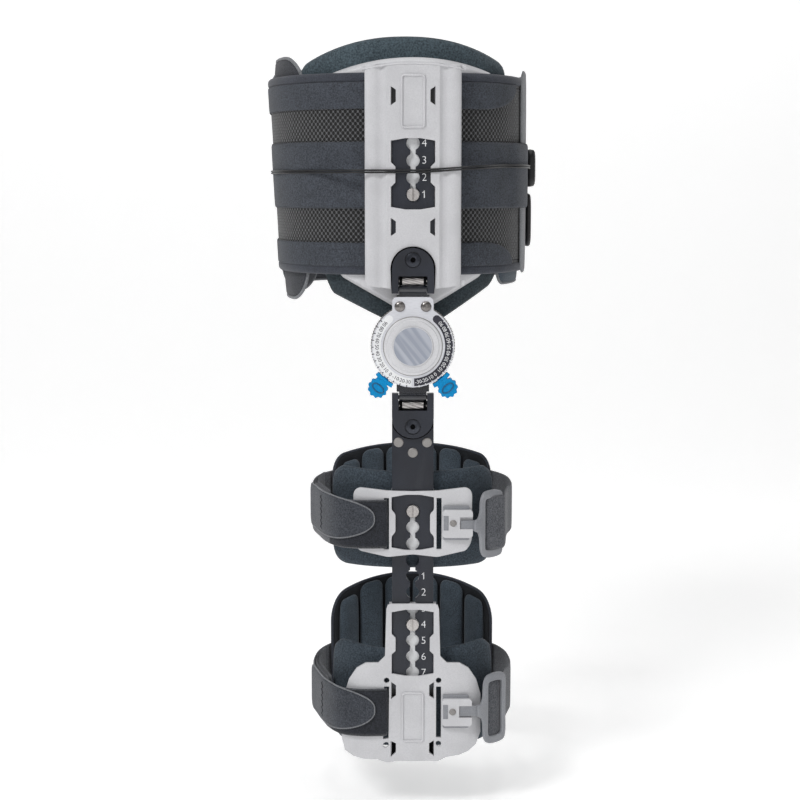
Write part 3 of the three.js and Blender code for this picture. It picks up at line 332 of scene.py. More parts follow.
def grained(name, dark, light, grain, height, stretch=(1, 1, 1), **sockets):
    """A hard surface with grain of a given width in millimetres, which stretch makes longer along an axis."""
    material, tree, shader = start_finish(name, **sockets)
    coords = add_node(tree, "ShaderNodeTexCoord")
    turn = add_node(tree, "ShaderNodeMapping", {"Vector": coords.outputs["Object"], "Scale": stretch})
    grit = add_node(tree, "ShaderNodeTexNoise", {
        "Vector": turn.outputs[0], "Scale": 1 / (grain * MM), "Detail": 3.0})
    cloud = add_node(tree, "ShaderNodeTexNoise", {
        "Vector": coords.outputs["Object"], "Scale": 1 / (CLOUD * MM)})
    both = add_node(tree, "ShaderNodeMath", {0: grit.outputs[0], 1: cloud.outputs[0]}, operation="MULTIPLY")
    share = add_node(tree, "ShaderNodeMapRange", {
        "Value": both.outputs[0], "From Min": GRAIN_RANGE[0], "From Max": GRAIN_RANGE[1]})
    tone = add_node(tree, "ShaderNodeMix", {
        SHARE: share.outputs[0], FIRST: linear(dark), SECOND: linear(light)}, data_type="RGBA")
    bump = add_node(tree, "ShaderNodeBump", {
        "Height": grit.outputs[0], "Distance": height * MM, "Strength": 0.3})
    tree.links.new(tone.outputs[MIXED], shader.inputs["Base Color"])
    tree.links.new(bump.outputs[0], shader.inputs["Normal"])
    return material


# Moulded ABS: near white, satin, evenly lit.
white_abs = grained("moulded_white_abs", "#c6c6c9", "#d0d0d3", grain=1.0, height=0.03, roughness=0.42)
# Moulded nylon of the stops: bright blue. A darker blue paints the shade of the groove round where the
# fingers press.
blue_nylon = grained(
    "moulded_blue_nylon", "#0080ba", "#0594d4", grain=1.2, height=0.04, roughness=0.5, specular_ior_level=0.2)
deep_blue_nylon = grained("deep_blue_nylon", "#00557f", "#006593", grain=1.2, height=0.04, roughness=0.5)
# Moulded acetal of the rings: mid grey.
grey_acetal = grained("moulded_grey_acetal", "#83858a", "#929499", grain=1.0, height=0.04, roughness=0.4)
# Moulded nylon of the pulleys and the cord: black with a dull shine. The same finish paints the shade behind
# the vents.
black_nylon_and_vent_shade = grained("moulded_black_nylon", "#0d0e10", "#191a1d", grain=1.0, height=0.05, roughness=0.45)
# Printed ink, white and dark: matt and even. The white one also paints light into the bars' holes, brighter
# than the moulding behind them.
white_ink_and_hole_light = grained("white_printing_ink", "#e6e7ea", "#f2f3f4", grain=0.6, height=0.01, roughness=0.6)
dark_ink = grained("dark_printing_ink", "#26252f", "#33323e", grain=0.6, height=0.01, roughness=0.6)
print("finish", white_abs.name, "and the other plastics")

# %% Metals
# Powder coated steel: blue black with a soft highlight.
coated_steel = grained("powder_coated_steel", "#181b24", "#232732", grain=0.8, height=0.06, roughness=0.42)
# Turned steel: bright, with fine rings.
turned_steel = grained(
    "turned_steel", "#a5a19f", "#cac6c4", grain=0.6, height=0.03, metallic=1.0, roughness=0.34)
# Rolled rivets of the bar: duller steel. The same finish paints the shade of the groove round the dial's cap.
rolled_steel = grained(
    "rolled_steel", "#8b8886", "#a5a2a0", grain=0.7, height=0.04, metallic=0.6, roughness=0.5)
# Worn steel of the dial's rivets: darker than turned steel, with a small gleam.
worn_steel = grained(
    "worn_rivet_steel", "#757170", "#95918f", grain=0.7, height=0.05, metallic=1.0, roughness=0.3)
# Blued screws: dark, with a brighter gleam than the coated plates round them.
blued_steel = grained(
    "blued_steel", "#33353c", "#474a52", grain=0.6, height=0.03, metallic=0.7, roughness=0.3)
# Brushed aluminium: pale, brushed from side to side.
brushed_aluminium = grained(
    "brushed_aluminium", "#d2d3d9", "#e1e2e8", grain=0.5, height=0.02, stretch=(0.1, 1, 1), metallic=0.3,
    roughness=0.38)
# Sand-blasted aluminium of the dial's cap: a little warmer and duller.
blasted_aluminium = grained(
    "blasted_aluminium", "#d0d0d3", "#dcdcdf", grain=0.7, height=0.02, metallic=0.2, roughness=0.45)
# Painted shade for gaps and recesses round the hinges: a near black, matt finish laid where only shadow
# shows, so a gap reads as a line.
gap_shade = grained(
    "blackened_gap_steel", "#050506", "#0b0b0d", grain=1.0, height=0.02, roughness=0.9,
    specular_ior_level=0.05)
# Gloss black enamel of the hinge tongues: a bright streak along each round edge.
gloss_enamel = grained(
    "gloss_black_enamel", "#14161c", "#1e212a", grain=0.8, height=0.03, roughness=0.2, specular_ior_level=0.9)
print("finish", coated_steel.name, "and the other metals")

# %% [markdown]
# The dial's label.
# A plain film lies under a clear coat, and light runs over it in broad slanting streaks. These are painted
# reflections: a noise stretched along a slanted axis draws them into the film's colour, so they belong to the
# film and stay where they are when the brace is turned.

# %% Label film
PAINTED_REFLECTION_STREAK = {"wide": 5.0, "long": 80.0, "slant": -38.0, "dark_below": 0.42, "light_above": 0.58}
# Glossy label film: pale blue grey under a clear coat, with painted reflections of light in slanting streaks.
label_film, tree, shader = start_finish("glossy_label_film", roughness=0.18, metallic=0.25, coat_weight=0.6)
coords = add_node(tree, "ShaderNodeTexCoord")
slant = add_node(tree, "ShaderNodeMapping", {
    "Vector": coords.outputs["Object"], "Rotation": (0, math.radians(PAINTED_REFLECTION_STREAK["slant"]), 0),
    "Scale": (PAINTED_REFLECTION_STREAK["wide"] * MM, 1.0, PAINTED_REFLECTION_STREAK["long"] * MM)}, vector_type="TEXTURE")
streak = add_node(tree, "ShaderNodeTexNoise", {"Vector": slant.outputs[0], "Scale": 1.0, "Detail": 1.0})
share = add_node(tree, "ShaderNodeMapRange", {
    "Value": streak.outputs[0], "From Min": PAINTED_REFLECTION_STREAK["dark_below"], "From Max": PAINTED_REFLECTION_STREAK["light_above"]})
tone = add_node(tree, "ShaderNodeMix", {
    SHARE: share.outputs[0], FIRST: linear("#aab0bd"), SECOND: linear("#c6cad5")}, data_type="RGBA")
tree.links.new(tone.outputs[MIXED], shader.inputs["Base Color"])
print("finish", label_film.name)

# %% [markdown]
# Paths.
# Belt, bands, pads and straps all run along a line that is seen from above: an oval round the waist or the
# thigh, or a strap's own route. A path knows its length and can give the point at any distance along it,
# moved outwards by any amount, so a layered belt is only a list of distances.

# %% Paths seen from above
OVAL_POINTS = 721


class Path:
    """A line seen from above, measured along its length in millimetres."""

    def __init__(self, points, closed=False):
        self.points = np.array(points, float)
        self.closed = closed
        steps = np.linalg.norm(np.diff(self.points, axis=0), axis=1)
        self.marks = np.concatenate([[0.0], np.cumsum(steps)])
        self.length = float(self.marks[-1])
        ahead = np.gradient(self.points, self.marks, axis=0)
        if closed:
            ahead[0] = ahead[-1] = (ahead[1] + ahead[-2]) / 2
        self.ahead = ahead / np.linalg.norm(ahead, axis=1)[:, None]

    def at(self, distance, out=0.0):
        """The point at a distance along the path, moved outwards."""
        place = distance % self.length if self.closed else min(max(distance, 0.0), self.length)
        columns = [*self.points.T, *self.ahead.T]
        x, y, along_x, along_y = (np.interp(place, self.marks, column) for column in columns)
        return x + along_y * out, y - along_x * out


def oval(belly, back, side, roundness, middle=0.0):
    """A rounded oval that starts at the back and turns by way of the far side."""
    turn = np.linspace(0, 2 * np.pi, OVAL_POINTS)
    across, deep = np.cos(turn), np.sin(turn)
    x = np.sign(across) * np.where(across < 0, belly, back) * np.abs(across) ** (2 / roundness)
    y = middle + np.sign(deep) * side * np.abs(deep) ** (2 / roundness)
    return Path(np.column_stack([x, y]), closed=True)


def near_distance(path, x):
    """How far along an oval its near half passes x."""
    half = len(path.marks) // 2
    return float(np.interp(x, path.points[half:, 0], path.marks[half:]))


WAIST = {"belly": 131, "back": 102.5, "side": 140, "roundness": 2.4}
THIGH = {"belly": 89, "back": 89, "side": 90, "roundness": 2.3, "middle": -52}
waist, thigh = oval(**WAIST), oval(**THIGH)
print(f"waist {waist.length:.0f} mm round, thigh {thigh.length:.0f} mm round")

# %% [markdown]
# Cords and pieces.
# A cord could be a curve with a bevel, but a grid wrapped round the route gives an even mesh with closed,
# rounded ends. The same tube later makes pipings, beads and rims. Each finished bmesh becomes a piece that
# rides on a body of the brace and may stand for CAD nodes.

# %% Add a piece, wrap a tube
WELD = 0.004


def add_piece(name, bm, body, finish, slot, replaces=(), smooth=None):
    """Turns a bmesh into a named piece that rides on a body and stands for CAD nodes."""
    mesh = bpy.data.meshes.new(name)
    bm.to_mesh(mesh)
    bm.free()
    mesh.shade_smooth()
    if smooth is not None:
        mesh.set_sharp_from_angle(angle=math.radians(smooth))
    mesh.materials.append(finish)
    piece = bpy.data.objects.new(name, mesh)
    scene.collection.objects.link(piece)
    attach(piece, body)
    if replaces:
        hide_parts(*replaces)
    return piece


def rounding(distance, length):
    """The share of full size at a distance from a rounded end."""
    rest = max(0.0, 1 - distance / length)
    return math.sqrt(max(0.0, 1 - rest * rest))


def close_seams(bm, slivers=True):
    """Merges doubled points, dissolves slivers and turns every face outwards."""
    bmesh.ops.remove_doubles(bm, verts=bm.verts, dist=WELD * MM)
    if slivers:
        bmesh.ops.dissolve_degenerate(bm, edges=bm.edges, dist=WELD * MM)
    bmesh.ops.recalc_face_normals(bm, faces=bm.faces)


def tube(points, normals, radius, sides=10, closed=False):
    """A round cord through points. normals say which way is out, once for all the points or for each."""
    points = np.array(points, float)
    normals = np.broadcast_to(np.array(normals, float), points.shape)
    if closed:
        ahead = np.roll(points, -1, axis=0) - np.roll(points, 1, axis=0)
        points, normals, ahead = (np.vstack([rows, rows[:1]]) for rows in (points, normals, ahead))
    else:
        ahead = np.gradient(points, axis=0)
    ahead /= np.linalg.norm(ahead, axis=1)[:, None]
    aside = np.cross(ahead, normals)
    aside /= np.linalg.norm(aside, axis=1)[:, None]
    outward = np.cross(aside, ahead)
    marks = np.concatenate([[0.0], np.cumsum(np.linalg.norm(np.diff(points, axis=0), axis=1))])
    last = len(points) - 1
    bm = bmesh.new()
    bmesh.ops.create_grid(bm, x_segments=last, y_segments=sides, size=0.5)
    for vert in bm.verts:
        i = round((vert.co.x + 0.5) * last)
        turn = 2 * math.pi * (vert.co.y + 0.5)
        size = radius if closed else radius * rounding(min(marks[i], marks[-1] - marks[i]), radius)
        vert.co = Vector(points[i] + size * (math.cos(turn) * outward[i] + math.sin(turn) * aside[i])) * MM
    close_seams(bm)
    return bm


print("seams are closed within", WELD, "mm")

# %% [markdown]
# The pull cords.
# Two thin cords lie side by side on the belt, from one side of the rear pulley round the belly to the
# other. They are drawn tight over the sleeve and rise a little behind it. Seen from above, their route
# repeats the points of the CAD solids, which a smooth curve joins.


# %% Pull cords
def smooth_route(points, closed=False, steps=12):
    """A smooth curve through points, which are spaced by the root of their distances."""
    points = np.array(points, float)
    if closed:
        run = np.vstack([points[-1:], points, points[:2]])
    else:
        run = np.vstack([2 * points[0] - points[1], points, 2 * points[-1] - points[-2]])
    route = []
    for before, first, last, after in zip(run, run[1:], run[2:], run[3:]):
        gaps = ((before, first), (first, last), (last, after))
        a, b, c = (math.sqrt(np.linalg.norm(q - p)) for p, q in gaps)
        leave = b * ((first - before) / a - (last - before) / (a + b) + (last - first) / b)
        arrive = b * ((last - first) / b - (after - first) / (b + c) + (after - last) / c)
        for t in np.linspace(0, 1, steps, endpoint=False):
            route.append((2 * t ** 3 - 3 * t ** 2 + 1) * first + (t ** 3 - 2 * t ** 2 + t) * leave
                         + (3 * t ** 2 - 2 * t ** 3) * last + (t ** 3 - t ** 2) * arrive)
    if not closed:
        route.append(run[-2])
    return np.array(route)


UP = (0.0, 0.0, 1.0)
CORD = {"radius": 0.8, "spread": 1.8, "z": 1.2, "rise": 5.0, "rise_from": 5.0, "rise_to": 80.0, "gap": 0.3}
CORD_OUT = {"belt": 3.0, "rear_panel": 5.7, "flap": 6.0, "pulley": 7.5}
FLAP_TURNS = (0.44, 0.38, 0.31, 0.25, 0.19, 0.13)
PULLEY_ENDS = (5.0, 55.0)
SLEEVE_FRONT = -150.4
on_sleeve_y = SLEEVE_FRONT - CORD["gap"] - CORD["radius"]
cord_plan = [waist.at(PULLEY_ENDS[0] - CORD["gap"], CORD_OUT["pulley"])]
cord_plan += [waist.at(distance, CORD_OUT["rear_panel"]) for distance in (-20, -50, -78)]
cord_plan += [waist.at(-104, CORD_OUT["belt"])]
cord_plan += [(x, on_sleeve_y) for x in (52, 28, 0, -28, -52)]
cord_plan += [waist.at(near_distance(waist, x), CORD_OUT["belt"]) for x in (-90, -118, -130)]
cord_plan += [waist.at(waist.length / 2, CORD_OUT["belt"])]
cord_plan += [waist.at(turn * waist.length, CORD_OUT["flap"]) for turn in FLAP_TURNS]
cord_plan += [waist.at(PULLEY_ENDS[1] + CORD["gap"], CORD_OUT["pulley"])]
cord_route = smooth_route(cord_plan)
behind = (cord_route[:, 0] - CORD["rise_from"]) / (CORD["rise_to"] - CORD["rise_from"])
climb = CORD["rise"] * np.clip(behind, 0, 1)
for name, side in (("upper", 1), ("lower", -1)):
    points = np.column_stack([cord_route, CORD["z"] + side * CORD["spread"] / 2 + climb])
    bm = tube(points, UP, CORD["radius"], sides=8)
    add_piece(f"tight_cord_{name}", bm, "pelvis", black_nylon_and_vent_shade, "black_plastic", [f"pull_cord_{name}"])
print(f"pull cords {Path(cord_route).length:.0f} mm long")

# %% [markdown]
# Soft walls.
# A cushion's section is flat in the middle and rounds over at its rims. We start from a flat grid, wrap its
# short side round such a section and lay its long side along a path. Where the wall ends, the section is
# pinched to a seam. A cloth simulation could swell the pads, but these walls are thin and their outlines
# have to follow the photograph. A grid keeps the quads even and gives the cloth a UV map in metres before
# it is bent.

# %% Soft wall along a path
CROWDING = 0.8


def spot_on(path, start, end, distance, out=0.0):
    """What an edge's rule may ask of a spot: its x, its share of the way, the nearer end and the last end."""
    return SimpleNamespace(x=path.at(distance, out)[0], share=(distance - start) / (end - start),
                           ends=min(distance - start, end - distance), last=end - distance)


def soft_wall(path, start, end, bottom, top, inner, outer, steps, rows=28, fullness=4.0, edge=4.0,
              quilt=None):
    """A soft wall along a path. bottom and top are heights, or rules that give one for a spot along it.

    quilt is a rule for how far a spot stands out, which also gets the swell of the section there."""
    def height(rule, spot):
        return rule(spot) if callable(rule) else rule

    whole = path.closed and abs(end - start - path.length) < 1
    middle, half = (inner + outer) / 2, (outer - inner) / 2
    bm = bmesh.new()
    bmesh.ops.create_grid(bm, x_segments=steps, y_segments=rows, size=0.5)
    cloth = bm.loops.layers.uv.new("cloth")
    flat = {}
    for vert in bm.verts:
        share, turn = round((vert.co.x + 0.5) * steps) / steps, round((vert.co.y + 0.5) * rows) / rows
        if not whole:
            share -= CROWDING * math.sin(2 * math.pi * share) / (2 * math.pi)
        distance = start + share * (end - start)
        spot = spot_on(path, start, end, distance, middle)
        if whole:
            spot.ends = path.length
        low, high = height(bottom, spot), height(top, spot)
        lift = math.sin(2 * math.pi * turn - math.pi / 2)
        side = 1 if turn < 0.5 else -1
        z = (low + high) / 2 + lift * (high - low) / 2
        swell = side * (1 - abs(lift) ** fullness) ** (1 / fullness) * rounding(spot.ends, edge)
        out = middle + swell * half
        if quilt:
            out += quilt(spot, swell)
        flat[vert] = (distance * MM, (z if side > 0 else 2 * high - z) * MM)
        vert.co = at_mm(*path.at(distance, out), z)
    for face in bm.faces:
        for loop in face.loops:
            loop[cloth].uv = flat[loop.vert]
    close_seams(bm)
    return bm


print("walls crowd their rows near the ends by", CROWDING)

# %% [markdown]
# The belt.
# One spacer-mesh loop carries everything at the waist. A smooth tape is folded over each rim and stitched
# below it, so the rim reads as a soft round tube. Both are soft walls: the tape is only a short, thick one.
# The stitches are many, so each is a stretched ball of twenty faces.

# %% Spacer loop and its bindings
BELT = {"bottom": -87.0, "top": 84.5, "wall": 4.0}
BELT_HEIGHT = BELT["top"] - BELT["bottom"]
BINDING = {"height": 8.5, "over": 0.2, "out": 1.6, "in": 5.6}
STITCH = {"length": 2.4, "radius": 0.4, "pitch": 4.0, "from_rim": 10.4, "out": 0.2}


def move_to(x, y, z):
    """A move to a place in millimetres."""
    return Matrix.Translation(at_mm(x, y, z))


def stitches(path, z):
    """A row of short stitches along a whole path."""
    bm = bmesh.new()
    size = Matrix.Diagonal((*at_mm(STITCH["length"] / 2, STITCH["radius"], STITCH["radius"]), 1))
    for distance in np.arange(0, path.length, STITCH["pitch"]):
        here, ahead = (np.array(path.at(distance + step, STITCH["out"])) for step in (0.0, 0.5))
        turn = math.atan2(*(ahead - here)[::-1])
        place = move_to(*here, z) @ Matrix.Rotation(turn, 4, "Z")
        bmesh.ops.create_icosphere(bm, subdivisions=1, radius=1, matrix=place @ size)
    return bm


bm = soft_wall(waist, 0, waist.length, BELT["bottom"], BELT["top"], -BELT["wall"], 0, steps=260, fullness=8)
belt = add_piece("spacer_belt", bm, "pelvis", spacer_mesh, "spacer_mesh", ["pelvic_belt"])
lows = {"top": BELT["top"] + BINDING["over"] - BINDING["height"], "low": BELT["bottom"] - BINDING["over"]}
for name, low in lows.items():
    bm = soft_wall(waist, 0, waist.length, low, low + BINDING["height"], -BINDING["in"], BINDING["out"],
                   steps=220, rows=16, fullness=2.4)
    add_piece(f"belt_binding_{name}", bm, "pelvis", binding_cloth, "loop_cloth")
for name, z in (("top", BELT["top"] - STITCH["from_rim"]), ("low", BELT["bottom"] + STITCH["from_rim"])):
    add_piece(f"belt_stitches_{name}", stitches(waist, z), "pelvis", patch_cloth, "loop_cloth")
print("belt", BELT_HEIGHT, "mm tall with", BINDING["height"], "mm bindings")

# %% [markdown]
# The loop-cloth bands.
# Three bands are sewn on the mesh. The upper and lower ones stop short of the back in a leaf-shaped and a
# rounded end; the middle one goes all the way round and rises over the rear panel. Narrow strips add up the
# area of the two with shaped ends.

# %% Bands on the belt
BAND_OUT = (0.3, 1.9)
REAR_PANEL_OUT = 2.5
BANDS = {
    "top": {"bottom": 54.0, "top": 77.0, "bottom_end": 75.5, "top_end": 77.0, "end_x": 90.0,
            "end_length": 56.0},
    "low": {"bottom": -80.0, "top": -59.5, "bottom_end": -80.0, "top_end": -78.5, "end_x": 87.0,
            "end_length": 48.0},
}
MIDDLE_BAND = {"bottom": -30.5, "top": 26.5, "rise_from": 82.0, "rise_to": 92.0}


def band_edge(full, at_end, length):
    """A band's edge, which bends towards its tip near each end."""
    return lambda spot: at_end + (full - at_end) * rounding(spot.ends, length)


def cut_area(path, start, end, bottom, top, steps=200):
    """The flat area of the cloth in a wall, in square metres, found in narrow strips."""
    strip = (end - start) / steps
    spots = [spot_on(path, start, end, start + (i + 0.5) * strip) for i in range(steps)]
    return sum(top(spot) - bottom(spot) for spot in spots) * strip * MM * MM


def over_rear_panel(spot, swell):
    """How far the middle band rises where it passes over the rear panel."""
    share = (spot.x - MIDDLE_BAND["rise_from"]) / (MIDDLE_BAND["rise_to"] - MIDDLE_BAND["rise_from"])
    share = min(max(share, 0.0), 1.0)
    return REAR_PANEL_OUT * share * share * (3 - 2 * share)


for name, band in BANDS.items():
    near = near_distance(waist, band["end_x"])
    start = waist.length - near
    low = band_edge(band["bottom"], band["bottom_end"], band["end_length"])
    high = band_edge(band["top"], band["top_end"], band["end_length"])
    bm = soft_wall(waist, start, near, low, high, *BAND_OUT, steps=240, rows=16, fullness=5, edge=2)
    piece = add_piece(f"loop_band_{name}", bm, "pelvis", band_cloth, "loop_cloth", [f"belt_band_{name}"])
    cut_area(waist, start, near, low, high)
bm = soft_wall(waist, 0, waist.length, MIDDLE_BAND["bottom"], MIDDLE_BAND["top"], *BAND_OUT, steps=260,
               rows=16, fullness=6, quilt=over_rear_panel)
piece = add_piece("loop_band_mid", bm, "pelvis", band_cloth, "loop_cloth", ["belt_band_mid"])
print(len(BANDS) + 1, "bands")

# %% [markdown]
# Panels at the belly and the back.
# The belly panel and the lumbar pad lie inside the belt and show past its rims with round corners; the
# closing flap and the rear panel lie outside it. They are soft walls with rounded corners. All but the rear
# panel are edged with a thin piping, a cord sewn into the seam all round.


# %% Panels and their piping
def round_corners(bottom, top, length, height):
    """Rules for the edges of a wall whose corners are rounded."""
    return (lambda spot: bottom + height * (1 - rounding(spot.ends, length)),
            lambda spot: top - height * (1 - rounding(spot.ends, length)))


def along_wall(path, distances, heights, out):
    """Points and outward normals on a wall, for a cord or a row of stitches."""
    points = [(*path.at(d, out), z) for d, z in zip(distances, heights)]
    normals = [(*(np.array(path.at(d, 1)) - np.array(path.at(d, 0))), 0.0) for d in distances]
    return points, normals


def wall_outline(path, start, end, bottom, top, out, steps=90):
    """Points and normals round the edge of a wall, crowded towards its ends."""
    shares = [0.5 - 0.5 * math.cos(math.pi * i / steps) for i in range(steps + 1)]
    distances = [start + (end - start) * share for share in shares]
    spots = [spot_on(path, start, end, distance) for distance in distances]
    there = along_wall(path, distances, [top(spot) for spot in spots], out)
    back = along_wall(path, distances[::-1], [bottom(spot) for spot in spots[::-1]], out)
    return there[0] + back[0], there[1] + back[1]


FRONT = near_distance(waist, -101)
REAR = near_distance(waist, 95)
LUMBAR = near_distance(waist, 80)
FLAP_END = waist.length / 2 - 30
FLAP_LENGTH = 190
PANELS = [
    {"name": "belly_panel", "node": "front_panel", "start": waist.length - FRONT, "end": FRONT,
     "bottom": -111.0, "top": 101.0, "corner": (36.0, 27.0), "inner": -10.3, "outer": -4.3,
     "finish": panel_cloth, "piping": 1.5},
    {"name": "closing_flap", "node": "closure_flap", "start": FLAP_END - FLAP_LENGTH, "end": FLAP_END,
     "bottom": -104.0, "top": 96.0, "corner": (34.0, 34.0), "inner": 2.2, "outer": 4.7,
     "finish": panel_cloth, "piping": 1.3},
    {"name": "back_panel", "node": "rear_panel", "start": REAR - waist.length, "end": waist.length - REAR,
     "bottom": -89.0, "top": 91.0, "corner": (10.0, 10.0), "inner": 0.3, "outer": REAR_PANEL_OUT,
     "finish": edging_cloth, "piping": 0},
    {"name": "back_cushion", "node": "lumbar_pad", "start": LUMBAR - waist.length,
     "end": waist.length - LUMBAR, "bottom": -97.0, "top": 76.0, "corner": (12.0, 12.0), "inner": -9.3,
     "outer": -4.3, "finish": quilt_cloth, "piping": 1.2},
]
for row in PANELS:
    bottom, top = round_corners(row["bottom"], row["top"], *row["corner"])
    ends, walls = (row["start"], row["end"]), (row["inner"], row["outer"])
    slot = slot_of[row["node"]]
    bm = soft_wall(waist, *ends, bottom, top, *walls, steps=90)
    panel = add_piece(row["name"], bm, "pelvis", row["finish"], slot, [row["node"]])
    if row["piping"]:
        bm = tube(*wall_outline(waist, *ends, bottom, top, sum(walls) / 2), row["piping"], closed=True)
        add_piece(row["name"] + "_piping", bm, "pelvis", edging_cloth, slot)
print(len(PANELS), "panels")

# %% [markdown]
# The belt's lean.
# The wearer is narrower below the belly, so the belt's front edge leans in towards its lower rim. One rule
# moves every cloth piece and cord made so far: nothing at the side and the top, most at the belly and the
# bottom.

# %% Lean the belt in at the belly
LEAN = {"by": 8.7, "power": 3}
LEANING = ("spacer_belt", "belt_", "loop_band", "belly_panel", "closing_flap", "tight_cord")
worn = [piece for piece in scene.objects
        if piece.type == "MESH" and piece.name.startswith(LEANING) and piece.name not in body_of]
for piece in worn:
    for vert in piece.data.vertices:
        forward = max(0.0, -vert.co.x / (WAIST["belly"] * MM)) ** LEAN["power"]
        below = max(0.0, BELT["top"] * MM - vert.co.z) / (BELT_HEIGHT * MM)
        vert.co.x += LEAN["by"] * MM * forward * below
print(len(worn), "cloth pieces lean in")

# %% [markdown]
# The side shell.
# A thin white shell and a thicker foam stand inside the belt on the worn side. Above the belt they show as
# an arch, below it as a V. The same soft wall makes both: the foam with a full round rim, the shell with a
# nearly square one.

# %% Shell and foam
# An arm of the V is the x and z where it starts and its slope. Beyond its start it turns up.
TURN_UP = 0.2
SHELL = {"from_x": -72, "to_x": 71, "inner": -6.9, "outer": -4.3, "peak": 97.4, "fall": 11.4, "fall_at": 66.0,
         "tip": -122.0, "belly_arm": (60, -90, 0.56), "back_arm": (57, -90, 0.58)}
FOAM = {"from_x": -107, "to_x": 91, "inner": -15.2, "outer": -7.2, "peak": 115.2, "peak_x": -7.0,
        "fall": 17.5, "fall_at": 80.0, "fall_power": 2.2, "corner": 15.0, "tip": -136.0,
        "belly_arm": (68, -104.5, 0.49), "back_arm": (66, -99, 0.65)}


def v_edge(row):
    """A rule for a V with a blunt tip."""
    def height(spot):
        x, z, slope = row["belly_arm"] if spot.x < 0 else row["back_arm"]
        beyond = max(0.0, abs(spot.x) - x)
        return max(row["tip"], z - slope * (x - abs(spot.x))) + TURN_UP * beyond * beyond

    return height


def shell_top(spot):
    """The shell's arch."""
    return SHELL["peak"] - SHELL["fall"] * (spot.x / SHELL["fall_at"]) ** 2


def foam_top(spot):
    """The foam's arch, which has round corners."""
    fall = FOAM["fall"] * (abs(spot.x - FOAM["peak_x"]) / FOAM["fall_at"]) ** FOAM["fall_power"]
    return FOAM["peak"] - fall - FOAM["corner"] * (1 - rounding(spot.ends, FOAM["corner"]))


def side_wall(row, top, **section):
    """A wall along the worn side, from one x to another."""
    ends = (near_distance(waist, row["from_x"]), near_distance(waist, row["to_x"]))
    return soft_wall(waist, *ends, v_edge(row), top, row["inner"], row["outer"], **section)


bm = side_wall(SHELL, shell_top, steps=120, rows=20, fullness=9, edge=1.2)
add_piece("side_shell", bm, "pelvis", white_abs, "white_plastic", ["pelvic_shell"])
bm = side_wall(FOAM, foam_top, steps=150, fullness=3.4, edge=5)
foam = add_piece("side_foam", bm, "pelvis", foam_cloth, "foam_cloth", ["shell_foam"])
print("side shell and foam")

# %% [markdown]
# The pulley cases.
# Two black cases at the back gather the pull cord. They lie on the middle band, so they are short walls
# along the same oval, with round corners and upright ribs for the fingers.

# %% Pulley cases
PULLEYS = {
    "upper": {"bottom": -12.0, "top": 23.0, "ends": PULLEY_ENDS, "depth": 8.3},
    "lower": {"bottom": -68.0, "top": -18.0, "ends": (8.0, 52.0), "depth": 4.8},
}
PULLEY_SEAT = 4.7
PULLEY_CORNER = 9.0
RIBS = {"count": 9, "depth": 0.5}


def finger_ribs(spot, swell):
    """Ribs on the outer face, which fade towards its rim."""
    return RIBS["depth"] * max(swell, 0) * math.cos(2 * math.pi * RIBS["count"] * spot.share)


for name, case in PULLEYS.items():
    bottom, top = round_corners(case["bottom"], case["top"], PULLEY_CORNER, PULLEY_CORNER)
    bm = soft_wall(waist, *case["ends"], bottom, top, PULLEY_SEAT, PULLEY_SEAT + case["depth"], steps=72,
                   rows=24, fullness=5, edge=3, quilt=finger_ribs)
    add_piece(f"pulley_case_{name}", bm, "pelvis", black_nylon_and_vent_shade, "black_plastic", [f"pulley_{name}"])
print(len(PULLEYS), "pulley cases")

# %% [markdown]
# The mouldings and metal plates.
# Their CAD solids already have the right shape, but every edge is knife sharp. We copy the solid, merge its
# loose triangles, dissolve the flat ones into whole faces and bevel the sharp edges, which is what a mould
# or a file does.

# %% Softened copies of the hard nodes
SHARP = 50.0
FLAT = 0.5
# A corner of a plate's outline turns by an angle within this range, and its edge runs nearly straight back.
OUTLINE_TURN = (math.radians(9), 1.0)
STRAIGHT_BACK = 0.8


def round_edges(bm, edges, width, segments=2, clamp=False):
    """Bevels edges to a round of a width in millimetres."""
    bmesh.ops.bevel(bm, geom=edges, offset=width * MM, offset_type="OFFSET", affect="EDGES",
                    segments=segments, profile=0.5, material=-1, clamp_overlap=clamp)


def softened(node, finish, width, outline=0, reshape=None):
    """A copy of a CAD node with its sharp edges rounded by a width and its outline's corners by another.

    reshape moves the points of the rounded copy."""
    bm = bmesh.new()
    bm.from_mesh(frame["nodes"][node].data)
    bmesh.ops.remove_doubles(bm, verts=bm.verts, dist=WELD * MM)
    bmesh.ops.dissolve_limit(bm, angle_limit=math.radians(FLAT), verts=bm.verts, edges=bm.edges)
    if outline:
        corners = [edge for edge in bm.edges
                   if edge.is_manifold and OUTLINE_TURN[0] < edge.calc_face_angle() < OUTLINE_TURN[1]
                   and abs((edge.verts[0].co - edge.verts[1].co).normalized().y) > STRAIGHT_BACK]
        round_edges(bm, corners, outline, segments=3, clamp=True)
    sharp = [edge for edge in bm.edges if edge.is_manifold and edge.calc_face_angle() > math.radians(SHARP)]
    round_edges(bm, sharp, width, clamp=True)
    if reshape:
        reshape(bm)
    piece = add_piece(node + "_edged", bm, body_of[node], finish, slot_of[node], [node], smooth=SHARP)
    even = piece.modifiers.new("even_shading", "WEIGHTED_NORMAL")
    even.keep_sharp = True
    return piece


